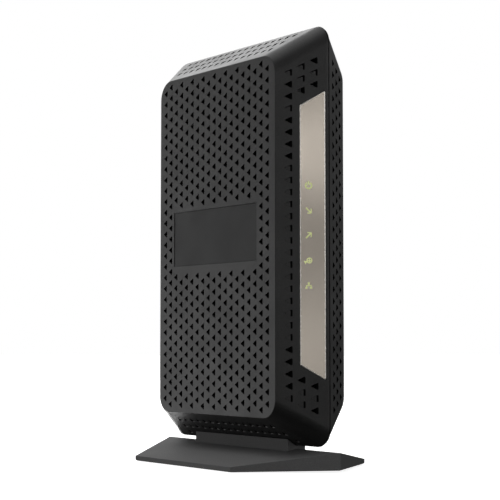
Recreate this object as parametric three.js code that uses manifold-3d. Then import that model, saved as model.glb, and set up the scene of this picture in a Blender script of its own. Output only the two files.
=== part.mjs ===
// A free-standing vertical cable modem, as an assembly of its separate pieces.
// Millimetres. X is the thickness, Y the depth (front at -Y, connectors at +Y), Z is up.
// The origin is on the ground below the middle of the stand.

import * as THREE from 'three';
import { mergeVertices } from 'three/addons/utils/BufferGeometryUtils.js';
import Module from 'manifold-3d';

const wasm = await Module();
wasm.setup();

// ---------------------------------------------------------------- driving dimensions

const GAP = 0.3; // clearance between neighbouring pieces
const ROUND_SIDES = 24; // facets of a visible round piece
const MIDDLE_SIDES = 16; // facets of a middle-sized round piece
const SMALL_SIDES = 12; // facets of a small round piece
const SMALL_CORNER_STEPS = 3; // facets of a small rounded corner
const BEYOND = 1; // how far a cutting body reaches past what it cuts

// The case: two half shells that taper from a shared seam outline at X = 0 to a broad face each.
const HALF_THICKNESS = 20.7;
const SEAM = { front: -64.6, rear: 65.6, low: 10.6, high: 210 };
const BROAD = { front: -49.8, rear: 49.8, low: 24.2, high: 195.7 };
const OUTLINE_RADIUS = 9.5;
const CORNER_STEPS = 6;
const WALL = 2;

// The badge plate, sunk into the left broad face.
const BADGE = { front: -34.9, rear: 36.6, low: 98.6, high: 126.1 };
const BADGE_SUNK = 0.6;
const BADGE_THICKNESS = 0.4;

// The status panel, on the left front slope. Distances along the slope start at the seam.
const PANEL_NEAR = 1.7;
const PANEL_FAR = 13.9;
const PANEL_MIDDLE_Z = 110;
const PANEL_HALF_HEIGHT_NEAR = 67.6;
const PANEL_HALF_HEIGHT_FAR = 60.8;
const PANEL_THICKNESS = 1.2;
const PANEL_PROUD = 0.2;
const SYMBOL_NAMES = ['power', 'downstream', 'upstream', 'internet', 'network'];
const SYMBOL_X = -8;
const SYMBOL_TOP_Z = 132.9;
const SYMBOL_PITCH = 11.7;
const SYMBOL_RADIUS = 2.5;

// The stand: a gable plate with a pointed front and rear, and a neck under the case.
const STAND_HALF_WIDTH = 40.35;
const STAND_HALF_SIDE = 41.5;
const STAND_HALF_LENGTH = 72;
const STAND_RIDGE_Z = 9.2;
const STAND_SIDE_Z = 2.1;
const STAND_CLEARANCE_SIDE = 0.3;
const STAND_CLEARANCE_MIDDLE = 1.1;
const NECK = { halfThickness: 5.3, halfLength: 39, radius: 1, top: 16, clearance: 0.36 };
const FOOT = { x: 32, y: 34, radius: 4, height: 1.3 };
const STAND_SCREW = { x: 2.6, y: 24, seatZ: 5, topZ: 20, head: 2.6, headHeight: 2, pocket: 3 };

// The connector panel, in a flat-floored pocket cut into the rear edge of both shells.
const REAR_FACE = 57.6;
const REAR_PANEL_THICKNESS = 1.6;
const POCKET = { halfWidth: 10.5, low: 30, high: 190, endWall: 2 };

// The main board, parallel to the broad faces.
const BOARD = { left: -8.8, right: -7.2, front: -44, rear: 52, low: 22, high: 198 };
const BOARD_CORNER_RADIUS = 3;
const BOARD_HOLE_RADIUS = 1.5;
const BOARD_SCREWS = [[-37, 32], [-37, 188], [42, 32], [42, 188]];
const BOARD_SCREW = { tip: -15, head: 2.5, headHeight: 1.8 };
const POST_RADIUS = 3; // the posts that carry the board
const SCREW = { shank: 1, slotDepth: 0.9, slotHalfLength: 1.3, slotHalfWidth: 0.3 };
const PART_BASE = BOARD.right + GAP; // X where the parts on the board start

// Heights of the rear connectors and controls.
const RESET_Z = 160;
const ETHERNET_Z = 133;
const COAX_Z = 101;
const POWER_BUTTON_Z = 74;
const POWER_JACK_Z = 48;

// ---------------------------------------------------------------- materials

function material(color, roughness, metalness = 0) {
  return new THREE.MeshStandardMaterial({ color, roughness, metalness });
}

const SHELL = material(0x2c2c2d, 0.62);
const STAND_PLASTIC = material(0x353536, 0.6);
const BADGE_PLASTIC = material(0x272728, 0.5);
const PANEL_FINISH = material(0xa79b8d, 0.38, 0.75);
const SYMBOL_GREEN = material(0xa8c04a, 0.4);
const AMBER_LENS = material(0xc98a2c, 0.35);
const DARK_PLASTIC = material(0x1b1b1c, 0.5);
const CLEAR_GUIDE = material(0xdfe5e2, 0.15);
const BOARD_GREEN = material(0x1d4a32, 0.55);
const CHIP_BLACK = material(0x18191b, 0.45);
const ALUMINIUM = material(0xb9bcc0, 0.4, 1);
const NICKEL = material(0xc9c6bf, 0.3, 1);
const GOLD = material(0xd9b25a, 0.3, 1);
const STEEL = material(0x8d8f92, 0.35, 1);
const PAD_GREY = material(0x8a93a3, 0.9);
const WHITE_PLASTIC = material(0xe6e4df, 0.5);
const RUBBER = material(0x151515, 0.9);
const CAN_SLEEVE = material(0x26303f, 0.4);
const FERRITE = material(0x3f4043, 0.7);

// ---------------------------------------------------------------- geometry helpers

const AXIS_ROTATION = {
  x: new THREE.Matrix4().makeRotationZ(-Math.PI / 2),
  y: new THREE.Matrix4(),
  z: new THREE.Matrix4().makeRotationX(Math.PI / 2),
};

/** Turns a closed three.js geometry into a solid that can be joined and cut. */
function solid(geometry) {
  const bare = geometry.clone();
  bare.deleteAttribute('normal');
  bare.deleteAttribute('uv');
  const merged = mergeVertices(bare, 1e-4);
  const mesh = new wasm.Mesh({
    numProp: 3,
    vertProperties: new Float32Array(merged.attributes.position.array),
    triVerts: new Uint32Array(merged.index.array),
  });
  return new wasm.Manifold(mesh);
}

/** Turns a solid back into a three.js geometry. */
function geometryOf(body) {
  const mesh = body.getMesh();
  const geometry = new THREE.BufferGeometry();
  geometry.setAttribute('position', new THREE.BufferAttribute(new Float32Array(mesh.vertProperties), 3));
  geometry.setIndex(new THREE.BufferAttribute(new Uint32Array(mesh.triVerts), 1));
  geometry.computeVertexNormals();
  return geometry;
}

/** A block between two corners, given as [low, high] along each axis. */
function block([x0, x1], [y0, y1], [z0, z1]) {
  const geometry = new THREE.BoxGeometry(x1 - x0, y1 - y0, z1 - z0);
  geometry.translate((x0 + x1) / 2, (y0 + y1) / 2, (z0 + z1) / 2);
  return solid(geometry);
}

/** A round rod along an axis, from one end to the other, about a centre given for all three axes. */
function rod(axis, [from, to], radius, [x, y, z], sides = SMALL_SIDES) {
  const geometry = new THREE.CylinderGeometry(radius, radius, to - from, sides);
  geometry.applyMatrix4(AXIS_ROTATION[axis]);
  const middle = (from + to) / 2;
  geometry.translate(axis === 'x' ? middle : x, axis === 'y' ? middle : y, axis === 'z' ? middle : z);
  return solid(geometry);
}

/** A flat outline pushed from one Z to another. */
function column(points, [z0, z1]) {
  const shape = new THREE.Shape(points.map(([x, y]) => new THREE.Vector2(x, y)));
  const geometry = new THREE.ExtrudeGeometry(shape, { depth: z1 - z0, bevelEnabled: false });
  geometry.translate(0, 0, z0);
  return solid(geometry);
}

/** An outline of [x, z] points pushed from one Y to another. */
function beam(points, [y0, y1]) {
  const shape = new THREE.Shape(points.map(([x, z]) => new THREE.Vector2(x, z)));
  const geometry = new THREE.ExtrudeGeometry(shape, { depth: y1 - y0, bevelEnabled: false });
  geometry.rotateX(Math.PI / 2);
  geometry.translate(0, y1, 0);
  return solid(geometry);
}

/** A rectangle with round corners, as points that run anticlockwise. */
function roundedRectangle({ left, right, low, high }, radius, steps) {
  const centres = [
    [right - radius, high - radius],
    [left + radius, high - radius],
    [left + radius, low + radius],
    [right - radius, low + radius],
  ];
  const points = [];
  centres.forEach(([a, b], quarter) => {
    for (let step = 0; step <= steps; step += 1) {
      const angle = (quarter + step / steps) * (Math.PI / 2);
      points.push([a + radius * Math.cos(angle), b + radius * Math.sin(angle)]);
    }
  });
  return points;
}

/** A closed body through rings of equal length, with a flat convex cap at each end. */
function loft(rings) {
  const count = rings[0].length;
  const index = [];
  for (let ring = 0; ring + 1 < rings.length; ring += 1) {
    for (let i = 0; i < count; i += 1) {
      const a = ring * count + i;
      const b = ring * count + ((i + 1) % count);
      index.push(a, b, b + count, a, b + count, a + count);
    }
  }
  const last = (rings.length - 1) * count;
  for (let i = 1; i + 1 < count; i += 1) {
    index.push(0, i + 1, i);
    index.push(last, last + i, last + i + 1);
  }
  const geometry = new THREE.BufferGeometry();
  geometry.setAttribute('position', new THREE.Float32BufferAttribute(rings.flat(2), 3));
  geometry.setIndex(index);
  return solid(geometry);
}

/** Two numbers as a [low, high] span. */
function span(a, b) {
  return [Math.min(a, b), Math.max(a, b)];
}

function joined(...bodies) {
  return bodies.reduce((whole, body) => whole.add(body));
}

function cut(body, ...tools) {
  return tools.reduce((rest, tool) => rest.subtract(tool), body);
}

function piece(name, body, finish) {
  const mesh = new THREE.Mesh(geometryOf(body), finish);
  mesh.name = name;
  return mesh;
}

// ---------------------------------------------------------------- the case's shape

/** The case outline on the plane at signed distance `out` from the seam, grown or shrunk in its plane. */
function caseOutline(out, grow) {
  const t = out / HALF_THICKNESS;
  const between = (key) => SEAM[key] + (BROAD[key] - SEAM[key]) * t;
  const edges = {
    left: between('front') - grow,
    right: between('rear') + grow,
    low: between('low') - grow,
    high: between('high') + grow,
  };
  return roundedRectangle(edges, OUTLINE_RADIUS + grow, CORNER_STEPS);
}

/** One tapered half of the case's shape, on the side -1 (left) or +1 (right), between two distances. */
function halfCase(side, [from, to], grow) {
  const ring = (out) => caseOutline(out, grow).map(([y, z]) => [side * out, y, z]);
  return loft(side > 0 ? [ring(from), ring(to)] : [ring(to), ring(from)]);
}

const SLOPE = (BROAD.front - SEAM.front) / HALF_THICKNESS;
const WALL_IN_PLANE = WALL * Math.hypot(1, SLOPE);

/** The whole case as one body, grown all round, for cutting what stands under it. */
function caseKeepOut(grow) {
  const span = [-BEYOND, HALF_THICKNESS];
  return joined(halfCase(-1, span, grow), halfCase(1, span, grow));
}

/** A hollow half shell with the walls that close the rear pocket's two ends. */
function shellBlank(side) {
  const outer = halfCase(side, [GAP / 2, HALF_THICKNESS], 0);
  const hollow = halfCase(side, [-BEYOND, HALF_THICKNESS - WALL], -WALL_IN_PLANE);
  const reach = span(side * (GAP / 2), side * (POCKET.halfWidth + POCKET.endWall));
  const depth = [REAR_FACE - 2 * REAR_PANEL_THICKNESS, SEAM.rear];
  const ends = [
    block(reach, depth, [POCKET.low - POCKET.endWall, POCKET.low]),
    block(reach, depth, [POCKET.high, POCKET.high + POCKET.endWall]),
  ].map((wall) => outer.intersect(wall));
  const pocket = block(
    [-POCKET.halfWidth, POCKET.halfWidth],
    [REAR_FACE - REAR_PANEL_THICKNESS - GAP, SEAM.rear + BEYOND],
    [POCKET.low, POCKET.high],
  );
  return cut(joined(cut(outer, hollow), ...ends), pocket);
}

/** The boss in a shell's floor that takes a stand screw. */
function standBoss(side) {
  const centre = [side * STAND_SCREW.x, side * STAND_SCREW.y, 0];
  const boss = rod('z', [SEAM.low, STAND_SCREW.topZ + WALL], STAND_SCREW.x - GAP, centre);
  return halfCase(side, [GAP / 2, HALF_THICKNESS], 0).intersect(boss);
}

function standScrewHole(side) {
  const centre = [side * STAND_SCREW.x, side * STAND_SCREW.y, 0];
  return rod('z', [0, STAND_SCREW.topZ + GAP], SCREW.shank + GAP, centre);
}

// ---------------------------------------------------------------- status panel on the front slope

const SLOPE_ANGLE = Math.atan(SLOPE);
const SLOPE_ALONG = new THREE.Vector3(-Math.cos(SLOPE_ANGLE), Math.sin(SLOPE_ANGLE), 0);
const SLOPE_OUT = new THREE.Vector3(-Math.sin(SLOPE_ANGLE), -Math.cos(SLOPE_ANGLE), 0);
const SYMBOL_ALONG = -SYMBOL_X / Math.cos(SLOPE_ANGLE);

/** Places a geometry drawn as (height, distance along the slope, distance out) on the front slope. */
function ontoSlope(geometry, out) {
  const origin = new THREE.Vector3(0, SEAM.front, 0).addScaledVector(SLOPE_OUT, out);
  const basis = new THREE.Matrix4().makeBasis(new THREE.Vector3(0, 0, 1), SLOPE_ALONG, SLOPE_OUT);
  geometry.applyMatrix4(basis.setPosition(origin));
  return solid(geometry);
}

/** The four-sided status panel, grown by a margin, between two distances out of the slope. */
function panelBlank(margin, [from, to]) {
  const outline = [
    [PANEL_MIDDLE_Z - PANEL_HALF_HEIGHT_NEAR - margin, PANEL_NEAR - margin],
    [PANEL_MIDDLE_Z + PANEL_HALF_HEIGHT_NEAR + margin, PANEL_NEAR - margin],
    [PANEL_MIDDLE_Z + PANEL_HALF_HEIGHT_FAR + margin, PANEL_FAR + margin],
    [PANEL_MIDDLE_Z - PANEL_HALF_HEIGHT_FAR - margin, PANEL_FAR + margin],
  ];
  const shape = new THREE.Shape(outline.map(([a, b]) => new THREE.Vector2(a, b)));
  const geometry = new THREE.ExtrudeGeometry(shape, { depth: to - from, bevelEnabled: false });
  return ontoSlope(geometry, from);
}

/** A round disc under one status symbol, between two distances out of the slope. */
function symbolDisc(row, radius, [from, to]) {
  const geometry = new THREE.CylinderGeometry(radius, radius, to - from, ROUND_SIDES);
  geometry.rotateX(Math.PI / 2);
  geometry.translate(symbolZ(row), SYMBOL_ALONG, (to - from) / 2);
  return ontoSlope(geometry, from);
}

function symbolZ(row) {
  return SYMBOL_TOP_Z - row * SYMBOL_PITCH;
}

function statusPanel() {
  const layer = [PANEL_PROUD - PANEL_THICKNESS, PANEL_PROUD];
  const through = [layer[0] - BEYOND, layer[1] + BEYOND];
  const holes = SYMBOL_NAMES.map((_, row) => symbolDisc(row, SYMBOL_RADIUS + GAP, through));
  const symbols = SYMBOL_NAMES.map((name, row) => (
    piece(`${name}_symbol`, symbolDisc(row, SYMBOL_RADIUS, layer), SYMBOL_GREEN)
  ));
  return [piece('status_panel', cut(panelBlank(0, layer), ...holes), PANEL_FINISH), ...symbols];
}

// ---------------------------------------------------------------- light guides behind the panel

const GUIDE = { left: -9, right: -5.2, front: -56.2, rear: -47.3, halfHeight: 1.5 };
const GUIDE_SPINE = [-49.6, -48.2]; // Y of the bar that joins the arms
const GUIDE_WINDOW = [-62, -50]; // Y of the holes that let the arms through the front wall
const GUIDE_HOLDER = { left: -12, right: -2.6, front: -52.6, rear: -51.2, overhang: 4 };
const STATUS_LIGHT = { front: GUIDE.rear + GAP, rear: -44.6, halfHeight: 1.2 };

/** The box that one arm of the light guide fills, grown by a margin. */
function guideArm(row, margin, [front, rear]) {
  const z = symbolZ(row);
  return block(
    [GUIDE.left - margin, GUIDE.right + margin],
    [front, rear],
    [z - GUIDE.halfHeight - margin, z + GUIDE.halfHeight + margin],
  );
}

function lightGuides() {
  const rows = SYMBOL_NAMES.map((_, row) => row);
  const spine = block(
    [GUIDE.left, GUIDE.right],
    GUIDE_SPINE,
    [symbolZ(rows.length - 1) - GUIDE.halfHeight, symbolZ(0) + GUIDE.halfHeight],
  );
  const comb = joined(spine, ...rows.map((row) => guideArm(row, 0, [GUIDE.front, GUIDE.rear])));
  const holderBlank = block(
    [GUIDE_HOLDER.left, GUIDE_HOLDER.right],
    [GUIDE_HOLDER.front, GUIDE_HOLDER.rear],
    [symbolZ(rows.length - 1) - GUIDE_HOLDER.overhang, symbolZ(0) + GUIDE_HOLDER.overhang],
  );
  const through = [GUIDE_HOLDER.front - BEYOND, GUIDE_HOLDER.rear + BEYOND];
  const holder = cut(holderBlank, ...rows.map((row) => guideArm(row, GAP, through)));
  const lights = rows.map((row) => {
    const z = symbolZ(row);
    const body = block(
      [GUIDE.left + GAP, GUIDE.right - GAP],
      [STATUS_LIGHT.front, STATUS_LIGHT.rear],
      [z - STATUS_LIGHT.halfHeight, z + STATUS_LIGHT.halfHeight],
    );
    return piece(`status_light_${row + 1}`, body, WHITE_PLASTIC);
  });
  return [
    piece('light_guide', comb, CLEAR_GUIDE),
    piece('light_guide_holder', holder, DARK_PLASTIC),
    ...lights,
  ];
}

// ---------------------------------------------------------------- half shells and badge plate

const BADGE_FLOOR = -HALF_THICKNESS + BADGE_SUNK + BADGE_THICKNESS + GAP;

function badgePlate() {
  const front = -HALF_THICKNESS + BADGE_SUNK;
  const plate = block([front, front + BADGE_THICKNESS], [BADGE.front, BADGE.rear], [BADGE.low, BADGE.high]);
  return piece('badge_plate', plate, BADGE_PLASTIC);
}

function badgeRecess() {
  return block(
    [-HALF_THICKNESS - BEYOND, BADGE_FLOOR],
    [BADGE.front - GAP, BADGE.rear + GAP],
    [BADGE.low - GAP, BADGE.high + GAP],
  );
}

/** The hole for a board screw stops short of the broad face. */
function boardScrewHole([y, z]) {
  const floor = -HALF_THICKNESS + WALL + 1;
  return rod('x', [floor, 0], SCREW.shank + GAP, [0, y, z]);
}

/** A post that stands on the left broad face and carries one corner of the main board. */
function boardPost([y, z]) {
  return rod('x', [-HALF_THICKNESS + WALL / 2, BOARD.left - GAP], POST_RADIUS, [0, y, z], ROUND_SIDES);
}

function leftShell() {
  const posts = BOARD_SCREWS.map(boardPost);
  const guideHoles = SYMBOL_NAMES.map((_, row) => guideArm(row, GAP, GUIDE_WINDOW));
  const recess = panelBlank(GAP, [PANEL_PROUD - PANEL_THICKNESS - GAP, PANEL_PROUD + BEYOND]);
  const shell = cut(
    joined(shellBlank(-1), standBoss(-1), ...posts),
    badgeRecess(),
    recess,
    standScrewHole(-1),
    ...guideHoles,
    ...BOARD_SCREWS.map(boardScrewHole),
  );
  return piece('left_shell', shell, SHELL);
}

function rightShell() {
  return piece('right_shell', cut(joined(shellBlank(1), standBoss(1)), standScrewHole(1)), SHELL);
}

// ---------------------------------------------------------------- stand

/** The six-cornered plate with its gable top and its slightly arched underside. */
function standPlate() {
  const section = [
    [-STAND_HALF_WIDTH, STAND_CLEARANCE_SIDE],
    [0, STAND_CLEARANCE_MIDDLE],
    [STAND_HALF_WIDTH, STAND_CLEARANCE_SIDE],
    [STAND_HALF_WIDTH, STAND_SIDE_Z],
    [0, STAND_RIDGE_Z],
    [-STAND_HALF_WIDTH, STAND_SIDE_Z],
  ];
  const plan = [
    [0, -STAND_HALF_LENGTH],
    [STAND_HALF_WIDTH, -STAND_HALF_SIDE],
    [STAND_HALF_WIDTH, STAND_HALF_SIDE],
    [0, STAND_HALF_LENGTH],
    [-STAND_HALF_WIDTH, STAND_HALF_SIDE],
    [-STAND_HALF_WIDTH, -STAND_HALF_SIDE],
  ];
  const gable = beam(section, [-STAND_HALF_LENGTH, STAND_HALF_LENGTH]);
  return gable.intersect(column(plan, [-BEYOND, STAND_RIDGE_Z + BEYOND]));
}

function footPlaces() {
  return [[-1, -1], [1, -1], [1, 1], [-1, 1]].map(([a, b]) => [a * FOOT.x, b * FOOT.y, 0]);
}

function stand() {
  const neckOutline = roundedRectangle(
    {
      left: -NECK.halfThickness,
      right: NECK.halfThickness,
      low: -NECK.halfLength,
      high: NECK.halfLength,
    },
    NECK.radius,
    SMALL_CORNER_STEPS,
  );
  const neck = cut(column(neckOutline, [STAND_RIDGE_Z / 2, NECK.top]), caseKeepOut(NECK.clearance));
  const footPockets = footPlaces().map((place) => (
    rod('z', [-BEYOND, FOOT.height + GAP], FOOT.radius + GAP, place, ROUND_SIDES)
  ));
  const headPockets = [-1, 1].map((side) => {
    const centre = [side * STAND_SCREW.x, side * STAND_SCREW.y, 0];
    return rod('z', [-BEYOND, STAND_SCREW.seatZ], STAND_SCREW.pocket, centre, ROUND_SIDES);
  });
  const body = cut(
    joined(standPlate(), neck),
    ...footPockets,
    ...headPockets,
    standScrewHole(-1),
    standScrewHole(1),
  );
  const feet = footPlaces().map((place, i) => (
    piece(`rubber_foot_${i + 1}`, rod('z', [0, FOOT.height], FOOT.radius, place, ROUND_SIDES), RUBBER)
  ));
  return [piece('stand', body, STAND_PLASTIC), ...feet];
}

// ---------------------------------------------------------------- screws

/** A pan-head screw along an axis: the head starts at `seat`, and the shank runs to `tip`. */
function screw(axis, seat, tip, { head, headHeight }, centre) {
  const away = Math.sign(seat - tip);
  const headTop = seat + away * headHeight;
  const cap = rod(axis, span(seat, headTop), head, centre, ROUND_SIDES);
  const shank = rod(axis, span(tip, seat + (away * headHeight) / 2), SCREW.shank, centre);
  return cut(joined(cap, shank), ...headSlots(axis, headTop, away, centre));
}

/** The two crossed slots of a screw head. */
function headSlots(axis, headTop, away, centre) {
  const deep = span(headTop - away * SCREW.slotDepth, headTop + away * BEYOND);
  const around = (middle, half) => [middle - half, middle + half];
  const { slotHalfLength: long, slotHalfWidth: narrow } = SCREW;
  return [[long, narrow], [narrow, long]].map(([a, b]) => {
    if (axis === 'x') return block(deep, around(centre[1], a), around(centre[2], b));
    return block(around(centre[0], a), around(centre[1], b), deep);
  });
}

function boardScrews() {
  return BOARD_SCREWS.map(([y, z], i) => {
    const body = screw('x', PART_BASE, BOARD_SCREW.tip, BOARD_SCREW, [0, y, z]);
    return piece(`board_screw_${i + 1}`, body, STEEL);
  });
}

function standScrews() {
  return [-1, 1].map((side, i) => {
    const centre = [side * STAND_SCREW.x, side * STAND_SCREW.y, 0];
    const body = screw('z', STAND_SCREW.seatZ - GAP, STAND_SCREW.topZ, STAND_SCREW, centre);
    return piece(`stand_screw_${i + 1}`, body, STEEL);
  });
}

// ---------------------------------------------------------------- main board and what cools it

const PROCESSOR = { y: -8, z: 154, half: 13, height: 2 };
const PAD_THICKNESS = 0.9;
const PAD_HALF = PROCESSOR.half - 1;
const HEATSINK = { front: -41, rear: 23, low: 122, high: 186, base: 2.5 };
const FINS = { count: 11, height: 11, thickness: 1.2 };
const PIN_PLACES = [[-38, 126], [20, 182]];
const PIN = { shank: 1.2, below: 2, head: 2.6, headHeight: 2, halfRoom: 3.1 };

function mainBoard() {
  const outline = roundedRectangle(
    { left: BOARD.front, right: BOARD.rear, low: BOARD.low, high: BOARD.high },
    BOARD_CORNER_RADIUS,
    SMALL_CORNER_STEPS,
  );
  const shape = new THREE.Shape(outline.map(([y, z]) => new THREE.Vector2(y, z)));
  const depth = BOARD.right - BOARD.left;
  const geometry = new THREE.ExtrudeGeometry(shape, { depth, bevelEnabled: false });
  geometry.applyMatrix4(new THREE.Matrix4().makeBasis(
    new THREE.Vector3(0, 1, 0),
    new THREE.Vector3(0, 0, 1),
    new THREE.Vector3(1, 0, 0),
  ));
  geometry.translate(BOARD.left, 0, 0);
  const holes = [...BOARD_SCREWS, ...PIN_PLACES].map(([y, z]) => (
    rod('x', [BOARD.left - BEYOND, BOARD.right + BEYOND], BOARD_HOLE_RADIUS, [0, y, z])
  ));
  return piece('main_board', cut(solid(geometry), ...holes), BOARD_GREEN);
}

/** A chip or other flat part on the board, with its middle and half sizes along Y and Z. */
function boardPart(name, [y, z], [halfY, halfZ], height, finish) {
  const body = block([PART_BASE, PART_BASE + height], [y - halfY, y + halfY], [z - halfZ, z + halfZ]);
  return piece(name, body, finish);
}

function coolingStack() {
  const padBase = PART_BASE + PROCESSOR.height + GAP;
  const sinkBase = padBase + PAD_THICKNESS + GAP;
  const sinkFace = sinkBase + HEATSINK.base;
  const finTip = sinkFace + FINS.height;
  const pad = block(
    [padBase, padBase + PAD_THICKNESS],
    [PROCESSOR.y - PAD_HALF, PROCESSOR.y + PAD_HALF],
    [PROCESSOR.z - PAD_HALF, PROCESSOR.z + PAD_HALF],
  );
  const finPitch = (HEATSINK.rear - HEATSINK.front - FINS.thickness) / (FINS.count - 1);
  const height = [HEATSINK.low, HEATSINK.high];
  const base = block([sinkBase, sinkFace], [HEATSINK.front, HEATSINK.rear], height);
  const fins = Array.from({ length: FINS.count }, (_, i) => {
    const y = HEATSINK.front + i * finPitch;
    return block([sinkFace - 1, finTip], [y, y + FINS.thickness], height);
  });
  const pinRoom = PIN_PLACES.map(([y, z]) => (
    block(
      [sinkFace, finTip + BEYOND],
      [y - PIN.halfRoom, y + PIN.halfRoom],
      [z - PIN.halfRoom, z + PIN.halfRoom],
    )
  ));
  const pinHoles = PIN_PLACES.map(([y, z]) => (
    rod('x', [sinkBase - BEYOND, sinkFace + BEYOND], BOARD_HOLE_RADIUS, [0, y, z])
  ));
  const sink = cut(joined(base, ...fins), ...pinRoom, ...pinHoles);
  const pins = PIN_PLACES.map(([y, z], i) => {
    const seat = sinkFace + GAP;
    const shank = rod('x', [BOARD.left - PIN.below, seat + PIN.headHeight / 2], PIN.shank, [0, y, z]);
    const cap = rod('x', [seat, seat + PIN.headHeight], PIN.head, [0, y, z], ROUND_SIDES);
    return piece(`heatsink_pin_${i + 1}`, joined(shank, cap), WHITE_PLASTIC);
  });
  return [piece('thermal_pad', pad, PAD_GREY), piece('heatsink', sink, ALUMINIUM), ...pins];
}

// ---------------------------------------------------------------- tuner shield

const SHIELD = { front: 8, rear: 36, low: 86, high: 116, height: 6, wall: 0.5 };

function tunerShield() {
  const top = PART_BASE + SHIELD.height;
  const walls = cut(
    block([PART_BASE, top], [SHIELD.front, SHIELD.rear], [SHIELD.low, SHIELD.high]),
    block(
      [PART_BASE - BEYOND, top + BEYOND],
      [SHIELD.front + SHIELD.wall, SHIELD.rear - SHIELD.wall],
      [SHIELD.low + SHIELD.wall, SHIELD.high - SHIELD.wall],
    ),
  );
  const lid = block(
    [top + GAP, top + GAP + SHIELD.wall],
    [SHIELD.front, SHIELD.rear],
    [SHIELD.low, SHIELD.high],
  );
  return [piece('tuner_shield_frame', walls, NICKEL), piece('tuner_shield_lid', lid, NICKEL)];
}

// ---------------------------------------------------------------- power and network parts on the board

const CAPACITOR = { radius: 4, height: 12, grooveHeight: 2, groove: 0.4 };
const INDUCTOR = { half: 5.5, cornerRadius: 2, cornerSteps: 2, height: 6, bevel: 1, topShare: 0.85 };
const CHIPS = {
  memory_chip_1: { middle: [-30, 106], half: [6, 4.5], height: 1.1 },
  memory_chip_2: { middle: [-14, 106], half: [6, 4.5], height: 1.1 },
  flash_chip: { middle: [-28, 88], half: [4, 3], height: 1 },
  ethernet_transformer: { middle: [30.5, ETHERNET_Z], half: [4, 8], height: 5.5 },
};
const INDUCTOR_PLACES = [[-6, 62], [-6, 46]];
const CAPACITOR_PLACES = [[12, 62], [12, 46]];

/** A can that stands on the board, with a crimped groove near its foot and a bevelled top. */
function capacitor([y, z]) {
  const { radius, height, grooveHeight, groove } = CAPACITOR;
  const profile = [
    [0, 0],
    [radius, 0],
    [radius, grooveHeight - groove],
    [radius - groove, grooveHeight],
    [radius, grooveHeight + groove],
    [radius, height - groove],
    [radius - groove, height],
    [0, height],
  ];
  const can = new THREE.LatheGeometry(profile.map(([r, h]) => new THREE.Vector2(r, h)), MIDDLE_SIDES);
  can.applyMatrix4(AXIS_ROTATION.x);
  can.translate(PART_BASE, y, z);
  return solid(can);
}

/** A square block with round corners and a bevelled top. */
function inductor([y, z]) {
  const { half, cornerRadius, cornerSteps, height, bevel, topShare } = INDUCTOR;
  const edges = { left: y - half, right: y + half, low: z - half, high: z + half };
  const outline = roundedRectangle(edges, cornerRadius, cornerSteps);
  const level = (rise, share) => (
    outline.map(([a, b]) => [PART_BASE + rise, y + (a - y) * share, z + (b - z) * share])
  );
  return loft([level(0, 1), level(height - bevel, 1), level(height, topShare)]);
}

function boardParts() {
  const { y, z, half, height } = PROCESSOR;
  return [
    boardPart('main_processor', [y, z], [half, half], height, CHIP_BLACK),
    ...Object.entries(CHIPS).map(([name, chip]) => (
      boardPart(name, chip.middle, chip.half, chip.height, CHIP_BLACK)
    )),
    ...INDUCTOR_PLACES.map((place, i) => piece(`power_inductor_${i + 1}`, inductor(place), FERRITE)),
    ...CAPACITOR_PLACES.map((place, i) => piece(`capacitor_${i + 1}`, capacitor(place), CAN_SLEEVE)),
  ];
}

// ---------------------------------------------------------------- Ethernet socket

const JACK = { left: PART_BASE, right: 6.7, front: 36, rear: 57.3, halfWidth: 8 };
const SOCKET = { right: 4.2, left: -2.7, halfWidth: 5.95, floor: 43.5 };
const LATCH_ROOM = [{ depth: 1.6, halfWidth: 3.1 }, { depth: 2.9, halfWidth: 2 }];
const CONTACT_ROOM = { depth: 1.2, halfWidth: 4.5, rear: 53.5 };
const CONTACTS = { count: 8, pitch: 1.02, halfWidth: 0.22, carrierHalf: 4.1 };
const LINK_LIGHT = { left: 5, right: 6, inner: 3.3, outer: 6.2, depth: 2 };

function linkLight(side, margin, rear) {
  const [low, high] = span(side * LINK_LIGHT.inner, side * LINK_LIGHT.outer);
  return block(
    [LINK_LIGHT.left - margin, LINK_LIGHT.right + margin],
    [JACK.rear - LINK_LIGHT.depth - margin, rear],
    [ETHERNET_Z + low - margin, ETHERNET_Z + high + margin],
  );
}

function ethernetSocket() {
  const around = (half) => [ETHERNET_Z - half, ETHERNET_Z + half];
  const deep = [SOCKET.floor, JACK.rear + BEYOND];
  const latchRoom = LATCH_ROOM.map(({ depth, halfWidth }) => (
    block([SOCKET.left - depth, SOCKET.left + BEYOND], deep, around(halfWidth))
  ));
  const contactRoom = block(
    [SOCKET.right - BEYOND, SOCKET.right + CONTACT_ROOM.depth],
    [SOCKET.floor, CONTACT_ROOM.rear],
    around(CONTACT_ROOM.halfWidth),
  );
  const housing = cut(
    block([JACK.left, JACK.right], [JACK.front, JACK.rear], around(JACK.halfWidth)),
    block([SOCKET.left, SOCKET.right], deep, around(SOCKET.halfWidth)),
    ...latchRoom,
    contactRoom,
    linkLight(-1, GAP, JACK.rear + BEYOND),
    linkLight(1, GAP, JACK.rear + BEYOND),
  );
  return [
    piece('ethernet_jack', housing, DARK_PLASTIC),
    piece('ethernet_contacts', contactComb(), GOLD),
    piece('link_light_1', linkLight(-1, 0, JACK.rear), SYMBOL_GREEN),
    piece('link_light_2', linkLight(1, 0, JACK.rear), AMBER_LENS),
  ];
}

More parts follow.
